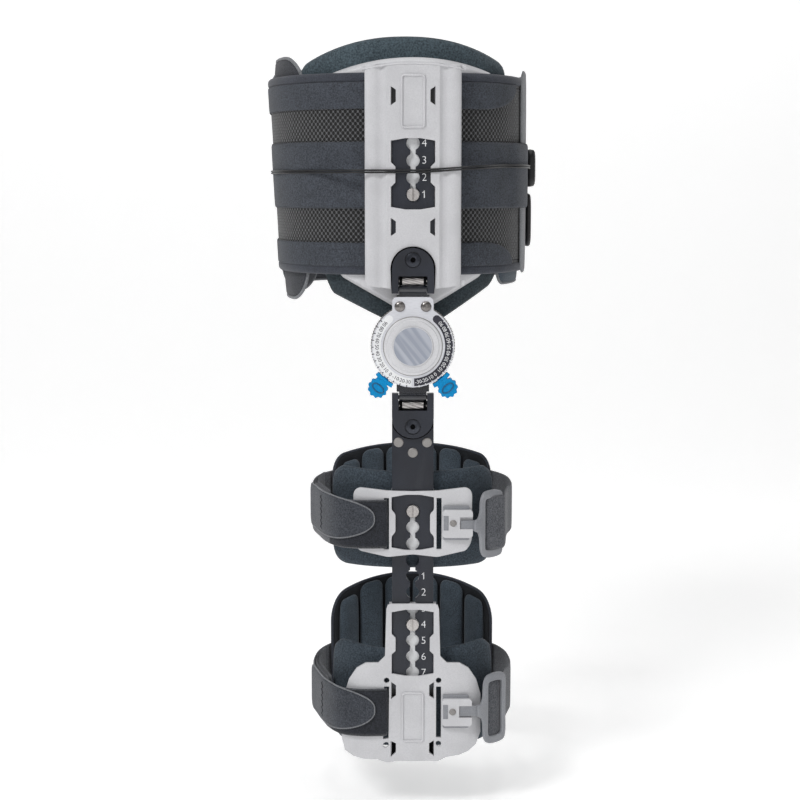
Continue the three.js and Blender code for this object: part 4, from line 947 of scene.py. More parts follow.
# The finish, the width of the rounded edges and the nodes.
HARD = [
    (white_abs, 0.9, ["upper_latch", "lower_latch"]),
    (gloss_enamel, 0.4, ["upper_tongue", "lower_tongue"]),
    (coated_steel, 0.8, ["upper_clevis", "lower_clevis"]),
    (brushed_aluminium, 0.3, ["dial_plate"]),
    (turned_steel, 0.25, ["channel_stud", "upper_cuff_stud", "lower_cuff_stud"]),
]
for finish, width, nodes in HARD:
    for node in nodes:
        softened(node, finish, width)
print(sum(len(nodes) for _, _, nodes in HARD), "softened copies")

# %% [markdown]
# The sleeve and the cuff plates.
# The three large white mouldings need a little more. The sleeve's narrow grooves open into wide soft
# valleys, so each point across keeps its order and moves to a new place. The lower plate's wings hang
# fuller than their straight-sided solid. Both are plain vertex moves, because the change is small and
# smooth.

# %% Shoulders of the sleeve, wings of the lower plate
SHOULDER = {"from": (20.5, 25.0, 26.0, 28.0, 29.0, 37.0, 40.0),
            "to": (20.5, 22.4, 24.6, 27.2, 30.2, 35.0, 40.0),
            "deeper": (0.0, 0.0, 0.0, 1.7, 1.2, -0.4, 0.0), "depth": 2.6}
WING = {"from_x": 14.0, "over": 46.0, "from_z": -474.0, "fall": 20.0, "belly_down": 9.0, "back_down": 3.0,
        "belly_out": 4.0}
PLATE_EDGE, PLATE_CORNER = 1.0, 7.0


def soft_shoulders(bm):
    """Opens the sleeve's grooves into valleys."""
    across = SHOULDER["from"]
    for vert in bm.verts:
        x, behind = abs(vert.co.x) / MM, vert.co.y / MM - SLEEVE_FRONT
        if across[0] < x < across[-1] and behind < SHOULDER["depth"]:
            vert.co.y += float(np.interp(x, across, SHOULDER["deeper"])) * MM
            vert.co.x = math.copysign(float(np.interp(x, across, SHOULDER["to"])) * MM, vert.co.x)


softened("channel_plate", white_abs, width=0.9, reshape=soft_shoulders)
softened("upper_cuff_plate", white_abs, PLATE_EDGE, outline=PLATE_CORNER)
lower_plate = softened("lower_cuff_plate", white_abs, PLATE_EDGE, outline=PLATE_CORNER)
for vert in lower_plate.data.vertices:
    aside = min(max((abs(vert.co.x) / MM - WING["from_x"]) / WING["over"], 0.0), 1.0)
    below = min(max((WING["from_z"] - vert.co.z / MM) / WING["fall"], 0.0), 1.0)
    vert.co.z -= WING["belly_down" if vert.co.x < 0 else "back_down"] * MM * aside * below
    if vert.co.x < 0:
        vert.co.x -= WING["belly_out"] * MM * aside * below
print("sleeve and two cuff plates")

# %% [markdown]
# The bars.
# Both bars are pierced by a row of round holes joined by narrow necks, in which a stud runs. A flat curve
# with a hole fills itself, gets its thickness and its rounded edge from the curve's own settings, and is
# made a mesh before it is placed. That keeps the holes truly round, where cutting with drums would leave
# many thin faces.

# %% Bars with rows of holes
HOLES = {"radius": 5.7, "neck": 4.4, "pitch": 14.4, "points": 17}
BAR = {"half": 18.0, "corner": 4.0, "thickness": 4.0, "middle": -146.0, "edge": 0.4}
BARS = {"upper_bar": {"first": 24.8, "holes": 4}, "thigh_bar": {"first": -291.4, "holes": 11}}
FACING = Matrix.Rotation(math.pi / 2, 4, "X")


def as_mesh(drawing):
    """A flat curve or a text as a mesh in its own plane. The drawing itself is dropped."""
    flat = bpy.data.objects.new("drawing", drawing)
    scene.collection.objects.link(flat)
    mesh = bpy.data.meshes.new_from_object(flat.evaluated_get(bpy.context.evaluated_depsgraph_get()))
    bpy.data.objects.remove(flat)
    bpy.data.curves.remove(drawing)
    return mesh


def add_cut_plate(bm, outlines, depth, edge, place):
    """Adds a flat plate with rounded edges inside closed outlines."""
    drawing = bpy.data.curves.new("outline", "CURVE")
    drawing.dimensions = "2D"
    drawing.fill_mode = "BOTH"
    drawing.extrude = (depth / 2 - edge) * MM
    drawing.bevel_depth = edge * MM
    drawing.bevel_resolution = 2
    drawing.offset = -edge * MM
    for outline in outlines:
        spline = drawing.splines.new("POLY")
        spline.points.add(len(outline) - 1)
        for point, (u, v) in zip(spline.points, outline):
            point.co = (u * MM, v * MM, 0, 1)
        spline.use_cyclic_u = True
    mesh = as_mesh(drawing)
    mesh.transform(place)
    bm.from_mesh(mesh)
    bpy.data.meshes.remove(mesh)
    close_seams(bm, slivers=False)


def hole_row(first_z, count):
    """The outline of a row of holes and their necks, from the top hole down."""
    radius, slit = HOLES["radius"], math.degrees(math.asin(HOLES["neck"] / 2 / HOLES["radius"]))
    side = []
    for i in range(count):
        top = 90.0 if i == 0 else 90 - slit
        low = -90.0 if i == count - 1 else slit - 90
        for turn in np.radians(np.linspace(top, low, HOLES["points"])):
            side.append((radius * math.cos(turn), first_z - i * HOLES["pitch"] + radius * math.sin(turn)))
    return side + [(-x, z) for x, z in side[-2:0:-1]]


def cut_corners(half, bottom, top, corner):
    """The outline of an upright rectangle with cut corners, clockwise from its top."""
    side = [(half - corner, top), (half, top - corner), (half, bottom + corner), (half - corner, bottom)]
    return side + [(-x, z) for x, z in side[::-1]]


for node, bar in BARS.items():
    low, high = (corner.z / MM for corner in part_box(node))
    outlines = [cut_corners(BAR["half"], low, high, BAR["corner"]), hole_row(bar["first"], bar["holes"])]
    bm = bmesh.new()
    add_cut_plate(bm, outlines, BAR["thickness"], BAR["edge"], move_to(0, BAR["middle"], 0) @ FACING)
    add_piece(node + "_pierced", bm, body_of[node], coated_steel, "black_metal", [node], smooth=40)
print(len(BARS), "bars")

# %% [markdown]
# Raised frames and lines.
# The sleeve and the lower cuff each have a raised frame round a plain field. A round bead along the frame
# catches the light as the moulding does. One more raised line follows the sleeve's arched top and goes back
# over its shoulders. All three are tubes half sunk in their mouldings.

# %% Beads on the mouldings
TO_VIEWER = (0.0, -1.0, 0.0)
BEAD = {"radius": 1.1, "corner": 1.5}
FRAMES = [
    {"name": "sleeve_bead", "body": "pelvis", "half": 9.6, "bottom": 38.1, "top": 81.5, "y": -150.8},
    {"name": "cuff_bead", "body": "lower_cuff", "half": 9.0, "bottom": -496.5, "top": -453.0, "y": -150.9},
]
TOP_LINE = {"peak": 91.2, "fall": 4.8, "half": 43.4, "radius": 0.8, "points": 61,
            "across": (0.0, 22.0, 30.0, 37.0, 40.0, 41.5, 44.0),
            "behind": (0.0, 0.0, 0.9, 0.9, 2.2, 4.2, 5.0)}
for row in FRAMES:
    outline = cut_corners(row["half"], row["bottom"], row["top"], BEAD["corner"])
    bm = tube([(x, row["y"], z) for x, z in outline], TO_VIEWER, BEAD["radius"], closed=True)
    add_piece(row["name"], bm, row["body"], white_abs, "white_plastic")
line_x = np.linspace(-TOP_LINE["half"], TOP_LINE["half"], TOP_LINE["points"])
line_y = SLEEVE_FRONT + np.interp(np.abs(line_x), TOP_LINE["across"], TOP_LINE["behind"])
line_z = TOP_LINE["peak"] - TOP_LINE["fall"] * (line_x / TOP_LINE["half"]) ** 2
bm = tube(np.column_stack([line_x, line_y, line_z]), UP, TOP_LINE["radius"], sides=8)
add_piece("sleeve_top_line", bm, "pelvis", white_abs, "white_plastic")
print(len(FRAMES), "frames and a top line")

# %% [markdown]
# Shade and light fills, and latch parts. Behind the vents lies a dark block of painted shade, so that they
# read as holes, and behind the bars' holes a white one, brighter than the moulding, that paints out their
# shade, as the photograph shows. Under each latch a grey ledge shows above its lever, and below the lever a
# thin grey strip of it paints the lever's shadow; a small plate marks its hinge. All are blocks between
# limits, and the latch parts get filed edges.

# %% Blocks behind the windows and under the latches
FILL_HALF = 18.3
IN_FRONT, BEHIND = (-147.2, -146.5), (-143.75, -143.5)
# Dark blocks paint the shade behind the vents; white ones, brighter than the moulding, paint out the shade
# behind the bars' holes.
SHADE_AND_LIGHT_FILLS = {
    "sleeve_lining": {"body": "pelvis", "z": (54.0, 75.0), "y": IN_FRONT, "finish": black_nylon_and_vent_shade},
    "cuff_lining_top": {"body": "lower_cuff", "z": (-461.0, -441.0), "y": BEHIND, "finish": black_nylon_and_vent_shade},
    "cuff_lining_low": {"body": "lower_cuff", "z": (-512.0, -494.0), "y": IN_FRONT, "finish": gap_shade},
    "sleeve_backing": {"body": "pelvis", "z": (-32.0, 30.0), "y": BEHIND, "finish": white_ink_and_hole_light},
    "upper_cuff_backing": {"body": "upper_cuff", "z": (-330.0, -272.0), "y": BEHIND, "finish": white_ink_and_hole_light},
    "lower_cuff_backing": {"body": "lower_cuff", "z": (-439.0, -377.0), "y": BEHIND, "finish": white_ink_and_hole_light},
}
LATCH_Z = {"upper": -300.5, "lower": -468.5}
# The ledge's drop reaches below each lever as a thin grey strip that paints the lever's shadow; above the
# lever it is the grey ledge itself.
LEDGE = {"x": (26.4, 49.0), "y": (-153.0, -150.6), "rise": 14.6, "drop": 15.6, "edge": 0.9}
HINGE = {"x": (26.6, 31.0), "half": 6.4, "proud": 0.35, "depth": 1.2, "edge": 0.3}


def add_block(bm, size, place):
    """Adds a box of a size in millimetres at a place given as a matrix."""
    bmesh.ops.create_cube(bm, size=1, matrix=place @ Matrix.Diagonal((*at_mm(*size), 1)))


def block_between(x, y, z, edge=0.0):
    """A box between limits along X, Y and Z, with its edges filed to a width."""
    bm = bmesh.new()
    low, high = np.array([x, y, z]).T
    add_block(bm, high - low, move_to(*(low + high) / 2))
    if edge:
        round_edges(bm, bm.edges[:], edge)
    return bm


for name, row in SHADE_AND_LIGHT_FILLS.items():
    bm = block_between((-FILL_HALF, FILL_HALF), row["y"], row["z"])
    add_piece(name, bm, row["body"], row["finish"], "black_plastic", smooth=30)
for name, z in LATCH_Z.items():
    bm = block_between(LEDGE["x"], LEDGE["y"], (z - LEDGE["drop"], z + LEDGE["rise"]), LEDGE["edge"])
    add_piece(f"{name}_latch_ledge", bm, f"{name}_cuff", grey_acetal, "grey_plastic", smooth=40)
for name, z in LATCH_Z.items():
    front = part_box(f"{name}_latch")[0].y / MM - HINGE["proud"]
    bm = block_between(HINGE["x"], (front, front + HINGE["depth"]), (z - HINGE["half"], z + HINGE["half"]),
                       HINGE["edge"])
    add_piece(f"{name}_latch_hinge", bm, f"{name}_cuff", grey_acetal, "grey_plastic", smooth=40)
print(len(SHADE_AND_LIGHT_FILLS), "linings and", 2 * len(LATCH_Z), "latch parts")

# %% [markdown]
# Turned pieces.
# Rivets, screws, the dial's cap and its label are round, so a profile of a few points is spun about an axis
# that points at the viewer. A profile point is a radius and a depth behind the front of the piece, as on a
# lathe.

# %% Spun rivets
RIVETS = [
    {"nodes": ("dial_rivet_left", "dial_rivet_right"), "head": 4.6, "height": 2.2, "power": 2.0,
     "finish": worn_steel},
    {"nodes": ("bar_rivet_left", "bar_rivet_right", "bar_rivet_low"), "head": 4.3, "height": 0.8,
     "power": 6.0, "finish": rolled_steel},
    {"nodes": ("upper_latch_rivet", "lower_latch_rivet"), "head": 3.0, "height": 0.9, "power": 3.0,
     "finish": rolled_steel},
]
DOME_POINTS = 9
SHANK_SHARE = 0.4


def front_of(node):
    """The middle of a CAD node's front, and its depth, in millimetres."""
    low, high = (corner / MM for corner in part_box(node))
    return Vector(((low.x + high.x) / 2, low.y, (low.z + high.z) / 2)), high.y - low.y


def spun(profile, front, steps=40):
    """A turned solid on an axis along Y, behind the middle of its front."""
    bm = bmesh.new()
    verts = [bm.verts.new((front + Vector((radius, behind, 0))) * MM) for radius, behind in profile]
    edges = [bm.edges.new(pair) for pair in zip(verts, verts[1:])]
    bmesh.ops.spin(bm, geom=verts + edges, cent=front * MM, axis=(0, 1, 0), angle=2 * math.pi, steps=steps,
                   use_merge=True)
    close_seams(bm, slivers=False)
    return bm


for row in RIVETS:
    head, height, power = row["head"], row["height"], row["power"]
    shares = np.linspace(0, 1, DOME_POINTS)
    dome = [(head * s, height * (1 - (1 - s ** power) ** (1 / power))) for s in shares]
    shank = SHANK_SHARE * head
    for node in row["nodes"]:
        front, depth = front_of(node)
        bm = spun(dome + [(shank, height), (shank, depth), (0, depth)], front)
        add_piece(node + "_head", bm, body_of[node], row["finish"], "steel", [node], smooth=SHARP)
print(sum(len(row["nodes"]) for row in RIVETS), "rivets")

# %% [markdown]
# The clevis screws.
# Each clevis is held by a flat screw with a dished head and a six-sided socket. The head is spun like a
# rivet, and the same spin with six steps makes a near black hexagon of painted shade that fills the socket.

# %% Clevis screws
SCREW = {"head": [(0, 1.4), (2.1, 1.4), (2.3, 0.1), (3.4, 0.1), (5.4, 0.7), (6.0, 0.9), (6.0, 1.6)],
         "under": 1.6, "shank": 2.5, "steps": 48}
SOCKET = {"profile": [(0, 0.6), (2.15, 0.6), (2.15, 1.5), (0, 1.5)], "sides": 6}
for node in ("upper_clevis_screw", "lower_clevis_screw"):
    front, depth = front_of(node)
    profile = SCREW["head"] + [(SCREW["shank"], SCREW["under"]), (SCREW["shank"], depth), (0, depth)]
    bm = spun(profile, front, SCREW["steps"])
    add_piece(node + "_turned", bm, body_of[node], blued_steel, "black_metal", [node], smooth=25)
    bm = spun(SOCKET["profile"], front, SOCKET["sides"])
    add_piece(node + "_socket", bm, body_of[node], gap_shade, "black_metal", smooth=30)
print("two screws with sockets")

# %% [markdown]
# The dial's face.
# A stepped cap covers the hinge, and a plain label lies in it. Two thin beads mark the groove round the cap
# and the label's rim; the groove's bead is a darker grey that paints the groove's shade. Dark rims of painted
# shade close the gap round each clevis, where only shadow shows, so the plates stand out from what is behind
# them.

# %% Cap, label and rims
DIAL = {"z": -147.4, "front": -152.0}
DIAL_DISCS = [
    {"name": "dial_cap_turned", "node": "dial_cap", "front": -154.3, "steps": 72, "finish": blasted_aluminium,
     "profile": [(0, 0), (22.1, 0), (22.7, 0.7), (24.2, 0.7), (24.8, 1), (25, 1.4), (25, 2), (0, 2)]},
    {"name": "dial_label_film", "node": "dial_label", "front": -155.2, "steps": 64, "finish": label_film,
     "profile": [(0, 0), (16.3, 0), (16.7, 0.3), (16.7, 0.6), (0, 0.6)]},
]
DIAL_RINGS = [
    # The cap's groove bead is a darker grey of painted shade.
    {"name": "cap_groove", "radius": 25.1, "y": -152.2, "bead": 0.5, "finish": rolled_steel},
    {"name": "label_rim", "radius": 16.9, "y": -154.7, "bead": 0.6, "finish": white_abs},
]
RIM = {"radius": 18.1, "bead": 1.1, "points": 40}
# The clevis rims are painted shade: near black beads where the gap round each clevis shows only shadow.
CLEVIS_SHADE_RIMS = [
    {"node": "upper_clevis", "y": -151.4, "from": 0, "to": 180, "leg": 22.0},
    {"node": "lower_clevis", "y": -149.2, "from": 196, "to": 344, "leg": 0.0},
]


def full_turn(points):
    """Angles that go once round in even steps."""
    return np.linspace(0, 2 * np.pi, points, endpoint=False)


def ring_points(wide, tall, y, z, turns):
    """Points on an oval that faces the viewer, at turns about its middle."""
    return np.column_stack([wide * np.cos(turns), np.full(len(turns), y), z + tall * np.sin(turns)])


for row in DIAL_DISCS:
    bm = spun(row["profile"], Vector((0, row["front"], DIAL["z"])), row["steps"])
    add_piece(row["name"], bm, "hip_dial", row["finish"], slot_of[row["node"]], [row["node"]], smooth=35)
for row in DIAL_RINGS:
    ring = ring_points(row["radius"], row["radius"], row["y"], DIAL["z"], full_turn(points=72))
    bm = tube(ring, TO_VIEWER, row["bead"], closed=True)
    add_piece(row["name"], bm, "hip_dial", row["finish"], "aluminium")
for row in CLEVIS_SHADE_RIMS:
    low, high = (corner.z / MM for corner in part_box(row["node"]))
    centre_z = high - BAR["half"] if row["leg"] else low + BAR["half"]
    turns = np.radians(np.linspace(row["from"], row["to"], RIM["points"]))
    arc = ring_points(RIM["radius"], RIM["radius"], row["y"], centre_z, turns)
    if row["leg"]:
        legs = arc[[0, -1]]
        legs[:, 2] = centre_z - row["leg"]
        arc = np.vstack([legs[:1], arc, legs[1:]])
    bm = tube(arc, TO_VIEWER, RIM["bead"], sides=8)
    add_piece(row["node"] + "_rim", bm, body_of[row["node"]], gap_shade, "black_metal")
print("cap, label,", len(DIAL_RINGS), "rings and", len(CLEVIS_SHADE_RIMS), "rims")

# %% [markdown]
# The dial's back plate.
# Its rim has fine teeth in which the stops catch. A circle whose points go in and out and an extrusion make
# such a plate; the stops' knobs use the same wavy disc with fewer, deeper waves.

# %% Serrated back plate
BACK_PLATE = {"front": -145.5, "back": -143.5, "radius": 36.1, "tooth": 0.35, "teeth": 90, "points": 4}


def wavy_disc(radius, wave, waves, points, depth):
    """A disc that lies flat, with so many points to each wave of its rim, extruded up to a depth."""
    bm = bmesh.new()
    rim = bmesh.ops.create_circle(bm, cap_ends=True, segments=points * waves, radius=radius * MM)["verts"]
    for vert in rim:
        vert.co *= 1 + wave / radius * math.cos(waves * math.atan2(vert.co.y, vert.co.x))
    raised = bmesh.ops.extrude_face_region(bm, geom=bm.faces[:])["geom"]
    bmesh.ops.translate(bm, verts=only(POINT, raised), vec=at_mm(0, 0, depth))
    bmesh.ops.recalc_face_normals(bm, faces=bm.faces)
    return bm


bm = wavy_disc(BACK_PLATE["radius"], BACK_PLATE["tooth"], BACK_PLATE["teeth"], BACK_PLATE["points"],
               BACK_PLATE["back"] - BACK_PLATE["front"])
bmesh.ops.transform(bm, matrix=move_to(0, BACK_PLATE["back"], DIAL["z"]) @ FACING, verts=bm.verts)
add_piece("dial_back_serrated", bm, "hip_dial", rolled_steel, "aluminium", ["dial_back_plate"], smooth=30)
print("back plate with", BACK_PLATE["teeth"], "teeth")

# %% [markdown]
# The grooved rollers.
# A knurled roller turns in each clevis. It is a drum whose sides are cut into rings, go in and out round it
# and are twisted a little from end to end. Dark collars of painted shade fill the gap between the roller and
# the clevis, where only shadow shows.

# %% Grooved rollers
ROLLER = {"radius": 3.2, "groove": 0.35, "half": 9.2, "flutes": 12, "cuts": 9, "twist": 70.0}
SHAFT = {"radius": 1.2, "half": 12.0, "sides": 16}
COLLAR = {"radius": 3.5, "half": 1.1, "sides": 24, "at": 10.2}
ALONG_X = Matrix.Rotation(math.pi / 2, 4, "Y")


def add_drum(bm, radius, half, sides, place=Matrix.Identity(4)):
    """Adds a closed drum along Z, turned and moved by a place."""
    bmesh.ops.create_cone(bm, cap_ends=True, segments=sides, radius1=radius * MM, radius2=radius * MM,
                          depth=2 * half * MM, matrix=place)


for node in ("upper_roller", "lower_roller"):
    front, depth = front_of(node)
    centre = front + Vector((0, depth / 2, 0))
    bm = bmesh.new()
    add_drum(bm, ROLLER["radius"], ROLLER["half"], 2 * ROLLER["flutes"])
    sides = [edge for edge in bm.edges if abs(edge.verts[0].co.z - edge.verts[1].co.z) > ROLLER["half"] * MM]
    bmesh.ops.subdivide_edges(bm, edges=sides, cuts=ROLLER["cuts"])
    for vert in bm.verts:
        wave = 0.5 - 0.5 * math.cos(ROLLER["flutes"] * math.atan2(vert.co.y, vert.co.x))
        size = 1 - ROLLER["groove"] / ROLLER["radius"] * wave
        twist = math.radians(ROLLER["twist"]) / 2 * vert.co.z / (ROLLER["half"] * MM)
        vert.co = Matrix.Rotation(twist, 3, "Z") @ Vector((vert.co.x * size, vert.co.y * size, vert.co.z))
    add_drum(bm, SHAFT["radius"], SHAFT["half"], SHAFT["sides"])
    bmesh.ops.transform(bm, matrix=move_to(*centre) @ ALONG_X, verts=bm.verts)
    add_piece(node + "_fluted", bm, body_of[node], turned_steel, "steel", [node], smooth=40)
    bm = bmesh.new()
    for side in (-1, 1):
        place = move_to(side * COLLAR["at"], centre.y, centre.z) @ ALONG_X
        add_drum(bm, COLLAR["radius"], COLLAR["half"], COLLAR["sides"], place)
    add_piece(node + "_collars", bm, body_of[node], gap_shade, "steel", smooth=40)
print("two rollers with collars")

# %% [markdown]
# The dial's scales.
# Both scales are printed: a white band with dark figures on the belly side and a dark one with white
# figures at the back. A short radial edge spun round the dial makes a band, and half a disc rounds its end.
# Figures start as text, become a mesh and are then laid on their face, each turned so that its head points
# at the dial's centre.

# %% Printed figures
INK = 0.05
# The built-in letters draw a 1 as a bare stroke, so it gets a flag. Shares of the figure's size.
FLAG = {"at": (-0.085, 0.235), "length": 0.24, "thick": 0.085, "lean": 38.0}


def figures(name, marks, body, finish, slot, thin=0.0):
    """Printed figures. Each mark is a text, its height, its place on a front face and its turn in degrees.

    thin is the share of the height that is taken off each side of a stroke."""
    bm = bmesh.new()
    for text, size, place, turn in marks:
        writing = bpy.data.curves.new("figure", "FONT")
        writing.body = text
        writing.size = size * MM
        writing.align_x = "CENTER"
        writing.align_y = "CENTER"
        writing.extrude = INK * MM
        writing.offset = -thin * size * MM
        writing.resolution_u = 3
        mesh = as_mesh(writing)
        laid = move_to(*place) @ Matrix.Rotation(math.radians(turn), 4, "Y") @ FACING
        mesh.transform(laid)
        bm.from_mesh(mesh)
        bpy.data.meshes.remove(mesh)
        if text == "1":
            x, y = FLAG["at"]
            lean = Matrix.Rotation(math.radians(FLAG["lean"]), 4, "Z")
            flag = (FLAG["length"] * size, (FLAG["thick"] - 2 * thin) * size, 2 * INK)
            add_block(bm, flag, laid @ move_to(x * size, y * size, 0) @ lean)
    bmesh.ops.remove_doubles(bm, verts=bm.verts, dist=WELD * MM)
    return add_piece(name, bm, body, finish, slot, smooth=40)


print("figures are", 2 * INK, "mm thick")

# %% Scale bands and ticks
SCALE = {"inner": 27.6, "outer": 34.3, "start": 2.0, "end": 139.0, "steps": 64, "cap_points": 28,
         "proud": 0.12, "ink": 0.06}
MARK = {"zero": 38.8, "figure": 30.9, "size": 4.5, "figure_proud": 0.1, "tick": 34.6,
        "tick_size": (0.7, 0.16, 1.9), "tick_proud": 0.02}
ANGLES = range(-30, 100, 10)
scale_front = DIAL["front"] - SCALE["proud"]


def on_dial(radius, angle, proud=0.0):
    """A place on the dial's face, at an angle from straight down."""
    return radius * math.sin(angle), scale_front - proud, DIAL["z"] - radius * math.cos(angle)


def scale_band(side):
    """The band of one scale, from near the bottom of the dial up to its rounded end."""
    bm = bmesh.new()
    start, end = (side * math.radians(SCALE[key]) for key in ("start", "end"))
    first = [bm.verts.new(at_mm(*on_dial(SCALE[key], start))) for key in ("inner", "outer")]
    bmesh.ops.spin(bm, geom=[bm.edges.new(first)], cent=at_mm(0, scale_front, DIAL["z"]), axis=(0, -side, 0),
                   angle=abs(end - start), steps=SCALE["steps"])
    cap = move_to(*on_dial((SCALE["inner"] + SCALE["outer"]) / 2, end))
    disc = bmesh.ops.create_circle(
        bm, cap_ends=True, segments=SCALE["cap_points"], radius=(SCALE["outer"] - SCALE["inner"]) / 2 * MM,
        matrix=cap @ FACING)["verts"]
    parts = disc + list({part for vert in disc for part in (*vert.link_edges, *vert.link_faces)})
    bmesh.ops.bisect_plane(bm, geom=parts, plane_co=cap.translation, clear_inner=True,
                           plane_no=(side * math.cos(end), 0, side * math.sin(end)))
    for face in bm.faces:
        face.normal_update()
        if face.normal.y > 0:
            face.normal_flip()
    wall = bmesh.ops.extrude_face_region(bm, geom=bm.faces[:])["geom"]
    bmesh.ops.translate(bm, verts=only(POINT, wall), vec=at_mm(0, -SCALE["ink"], 0))
    return bm


for side, band_finish, ink, name in ((-1, white_ink_and_hole_light, dark_ink, "belly"), (1, dark_ink, white_ink_and_hole_light, "back")):
    add_piece(f"scale_band_{name}", scale_band(side), "hip_dial", band_finish, "aluminium", smooth=30)
    marks, ticks = [], bmesh.new()
    for value in ANGLES:
        angle = side * math.radians(MARK["zero"] + value)
        place = on_dial(MARK["figure"], angle, MARK["figure_proud"])
        marks.append((str(value), MARK["size"], place, -math.degrees(angle)))
        tick = move_to(*on_dial(MARK["tick"], angle, MARK["tick_proud"])) @ Matrix.Rotation(-angle, 4, "Y")
        add_block(ticks, MARK["tick_size"], tick)
    add_piece(f"scale_ticks_{name}", ticks, "hip_dial", ink, "aluminium", smooth=30)
    figures(f"scale_figures_{name}", marks, "hip_dial", ink, "aluminium")
print(len(ANGLES), "figures on each scale")

# %% [markdown]
# The bars' figures.
# Each hole that can be chosen has a number beside it, thinner than the dial's. They count upwards on the
# upper bar and downwards on the thigh bar, one to each hole's pitch.

# %% Figures on the bars
BAR_FIGURE = {"x": 9.6, "y": -148.06, "size": 9.4, "thin": 0.014}
BAR_FIGURES = [
    {"name": "bar_figures_upper", "body": "upper_arm", "first": -18.4, "step": HOLES["pitch"], "count": 4},
    {"name": "bar_figures_thigh", "body": "thigh", "first": -349.0, "step": -HOLES["pitch"], "count": 7},
]
for row in BAR_FIGURES:
    heights = [row["first"] + i * row["step"] for i in range(row["count"])]
    marks = [(str(i + 1), BAR_FIGURE["size"], (BAR_FIGURE["x"], BAR_FIGURE["y"], z), 0)
             for i, z in enumerate(heights)]
    figures(row["name"], marks, row["body"], white_ink_and_hole_light, "black_metal", BAR_FIGURE["thin"])
print(sum(row["count"] for row in BAR_FIGURES), "figures on the bars")

# %% [markdown]
# The stops.
# Each blue stop is a scalloped knob on a neck, with a curved flange that rides on the dial's rim and a pin
# that reaches under it. It is made hanging straight down from the dial's centre and then turned to its place.
# A raised oval bead in a darker blue of painted shade marks the groove round where the fingers press.

# %% Blue stops
STOP = {"angle": 39.8, "flange": (36.8, 40.2), "flange_angle": 12.5, "flange_steps": 14,
        "depth": (-152.0, -143.5), "neck": 4.6, "neck_sunk": 0.5, "neck_into_knob": 1.6}
KNOB = {"at": 46.8, "depth": (-152.6, -144.0), "radius": 8.3, "scallop": 0.6, "scallops": 11, "points": 6,
        "edge": 0.7, "rim_angle": 60.0, "oval": (5.6, 3.0), "bead": 0.7}
STOP_PIN = {"at": (0, -147.5, -34.0), "size": (5.2, 3.4, 8.0)}


def stop_knob():
    """The knob alone, a scalloped disc that faces the viewer below the dial's centre."""
    front, back = KNOB["depth"]
    bm = wavy_disc(KNOB["radius"], KNOB["scallop"], KNOB["scallops"], KNOB["points"], back - front)
    rims = [edge for edge in bm.edges if edge.calc_face_angle() > math.radians(KNOB["rim_angle"])]
    round_edges(bm, rims, KNOB["edge"], segments=3)
    bmesh.ops.transform(bm, matrix=move_to(0, back, -KNOB["at"]) @ FACING, verts=bm.verts)
    return bm


for node, side in (("flexion_stop", 1), ("extension_stop", -1)):
    bm = stop_knob()
    (front, back), (inner, outer) = STOP["depth"], STOP["flange"]
    lean = math.radians(STOP["flange_angle"])
    section = ((front, inner), (back, inner), (back, outer), (front, outer))
    corners = [bm.verts.new(at_mm(0, y, -radius)) for y, radius in section]
    face = bm.faces.new(corners)
    bmesh.ops.rotate(bm, cent=(0, 0, 0), matrix=Matrix.Rotation(-lean, 3, "Y"), verts=corners)
    bmesh.ops.spin(bm, geom=[face], cent=(0, 0, 0), axis=(0, 1, 0), angle=2 * lean,
                   steps=STOP["flange_steps"])
    reach = KNOB["at"] - outer + STOP["neck_into_knob"]
    neck = (2 * STOP["neck"], back - front - 2 * STOP["neck_sunk"], reach)
    add_block(bm, neck, move_to(0, (front + back) / 2, -(outer + KNOB["at"]) / 2))
    add_block(bm, STOP_PIN["size"], move_to(*STOP_PIN["at"]))
    bmesh.ops.recalc_face_normals(bm, faces=bm.faces)
    place = move_to(0, 0, DIAL["z"]) @ Matrix.Rotation(side * math.radians(STOP["angle"]), 4, "Y")
    bmesh.ops.transform(bm, matrix=place, verts=bm.verts)
    add_piece(node + "_moulded", bm, body_of[node], blue_nylon, "blue_plastic", [node], smooth=40)
    ring = ring_points(*KNOB["oval"], KNOB["depth"][0], -KNOB["at"], full_turn(points=40))
    bm = tube(ring, TO_VIEWER, KNOB["bead"], closed=True)
    bmesh.ops.transform(bm, matrix=place, verts=bm.verts)
    add_piece(node + "_oval", bm, body_of[node], deep_blue_nylon, "blue_plastic")
print("two stops")

# %% [markdown]
# The hook rings.
# Each strap turns round a grey ring whose neck flares from a narrow tongue. It is a cut plate like the
# bars, with a smooth outline and a window, turned back by the angle at which the strap leaves the cuff.
# Only one half of each outline is written down, and the other is its mirror image.

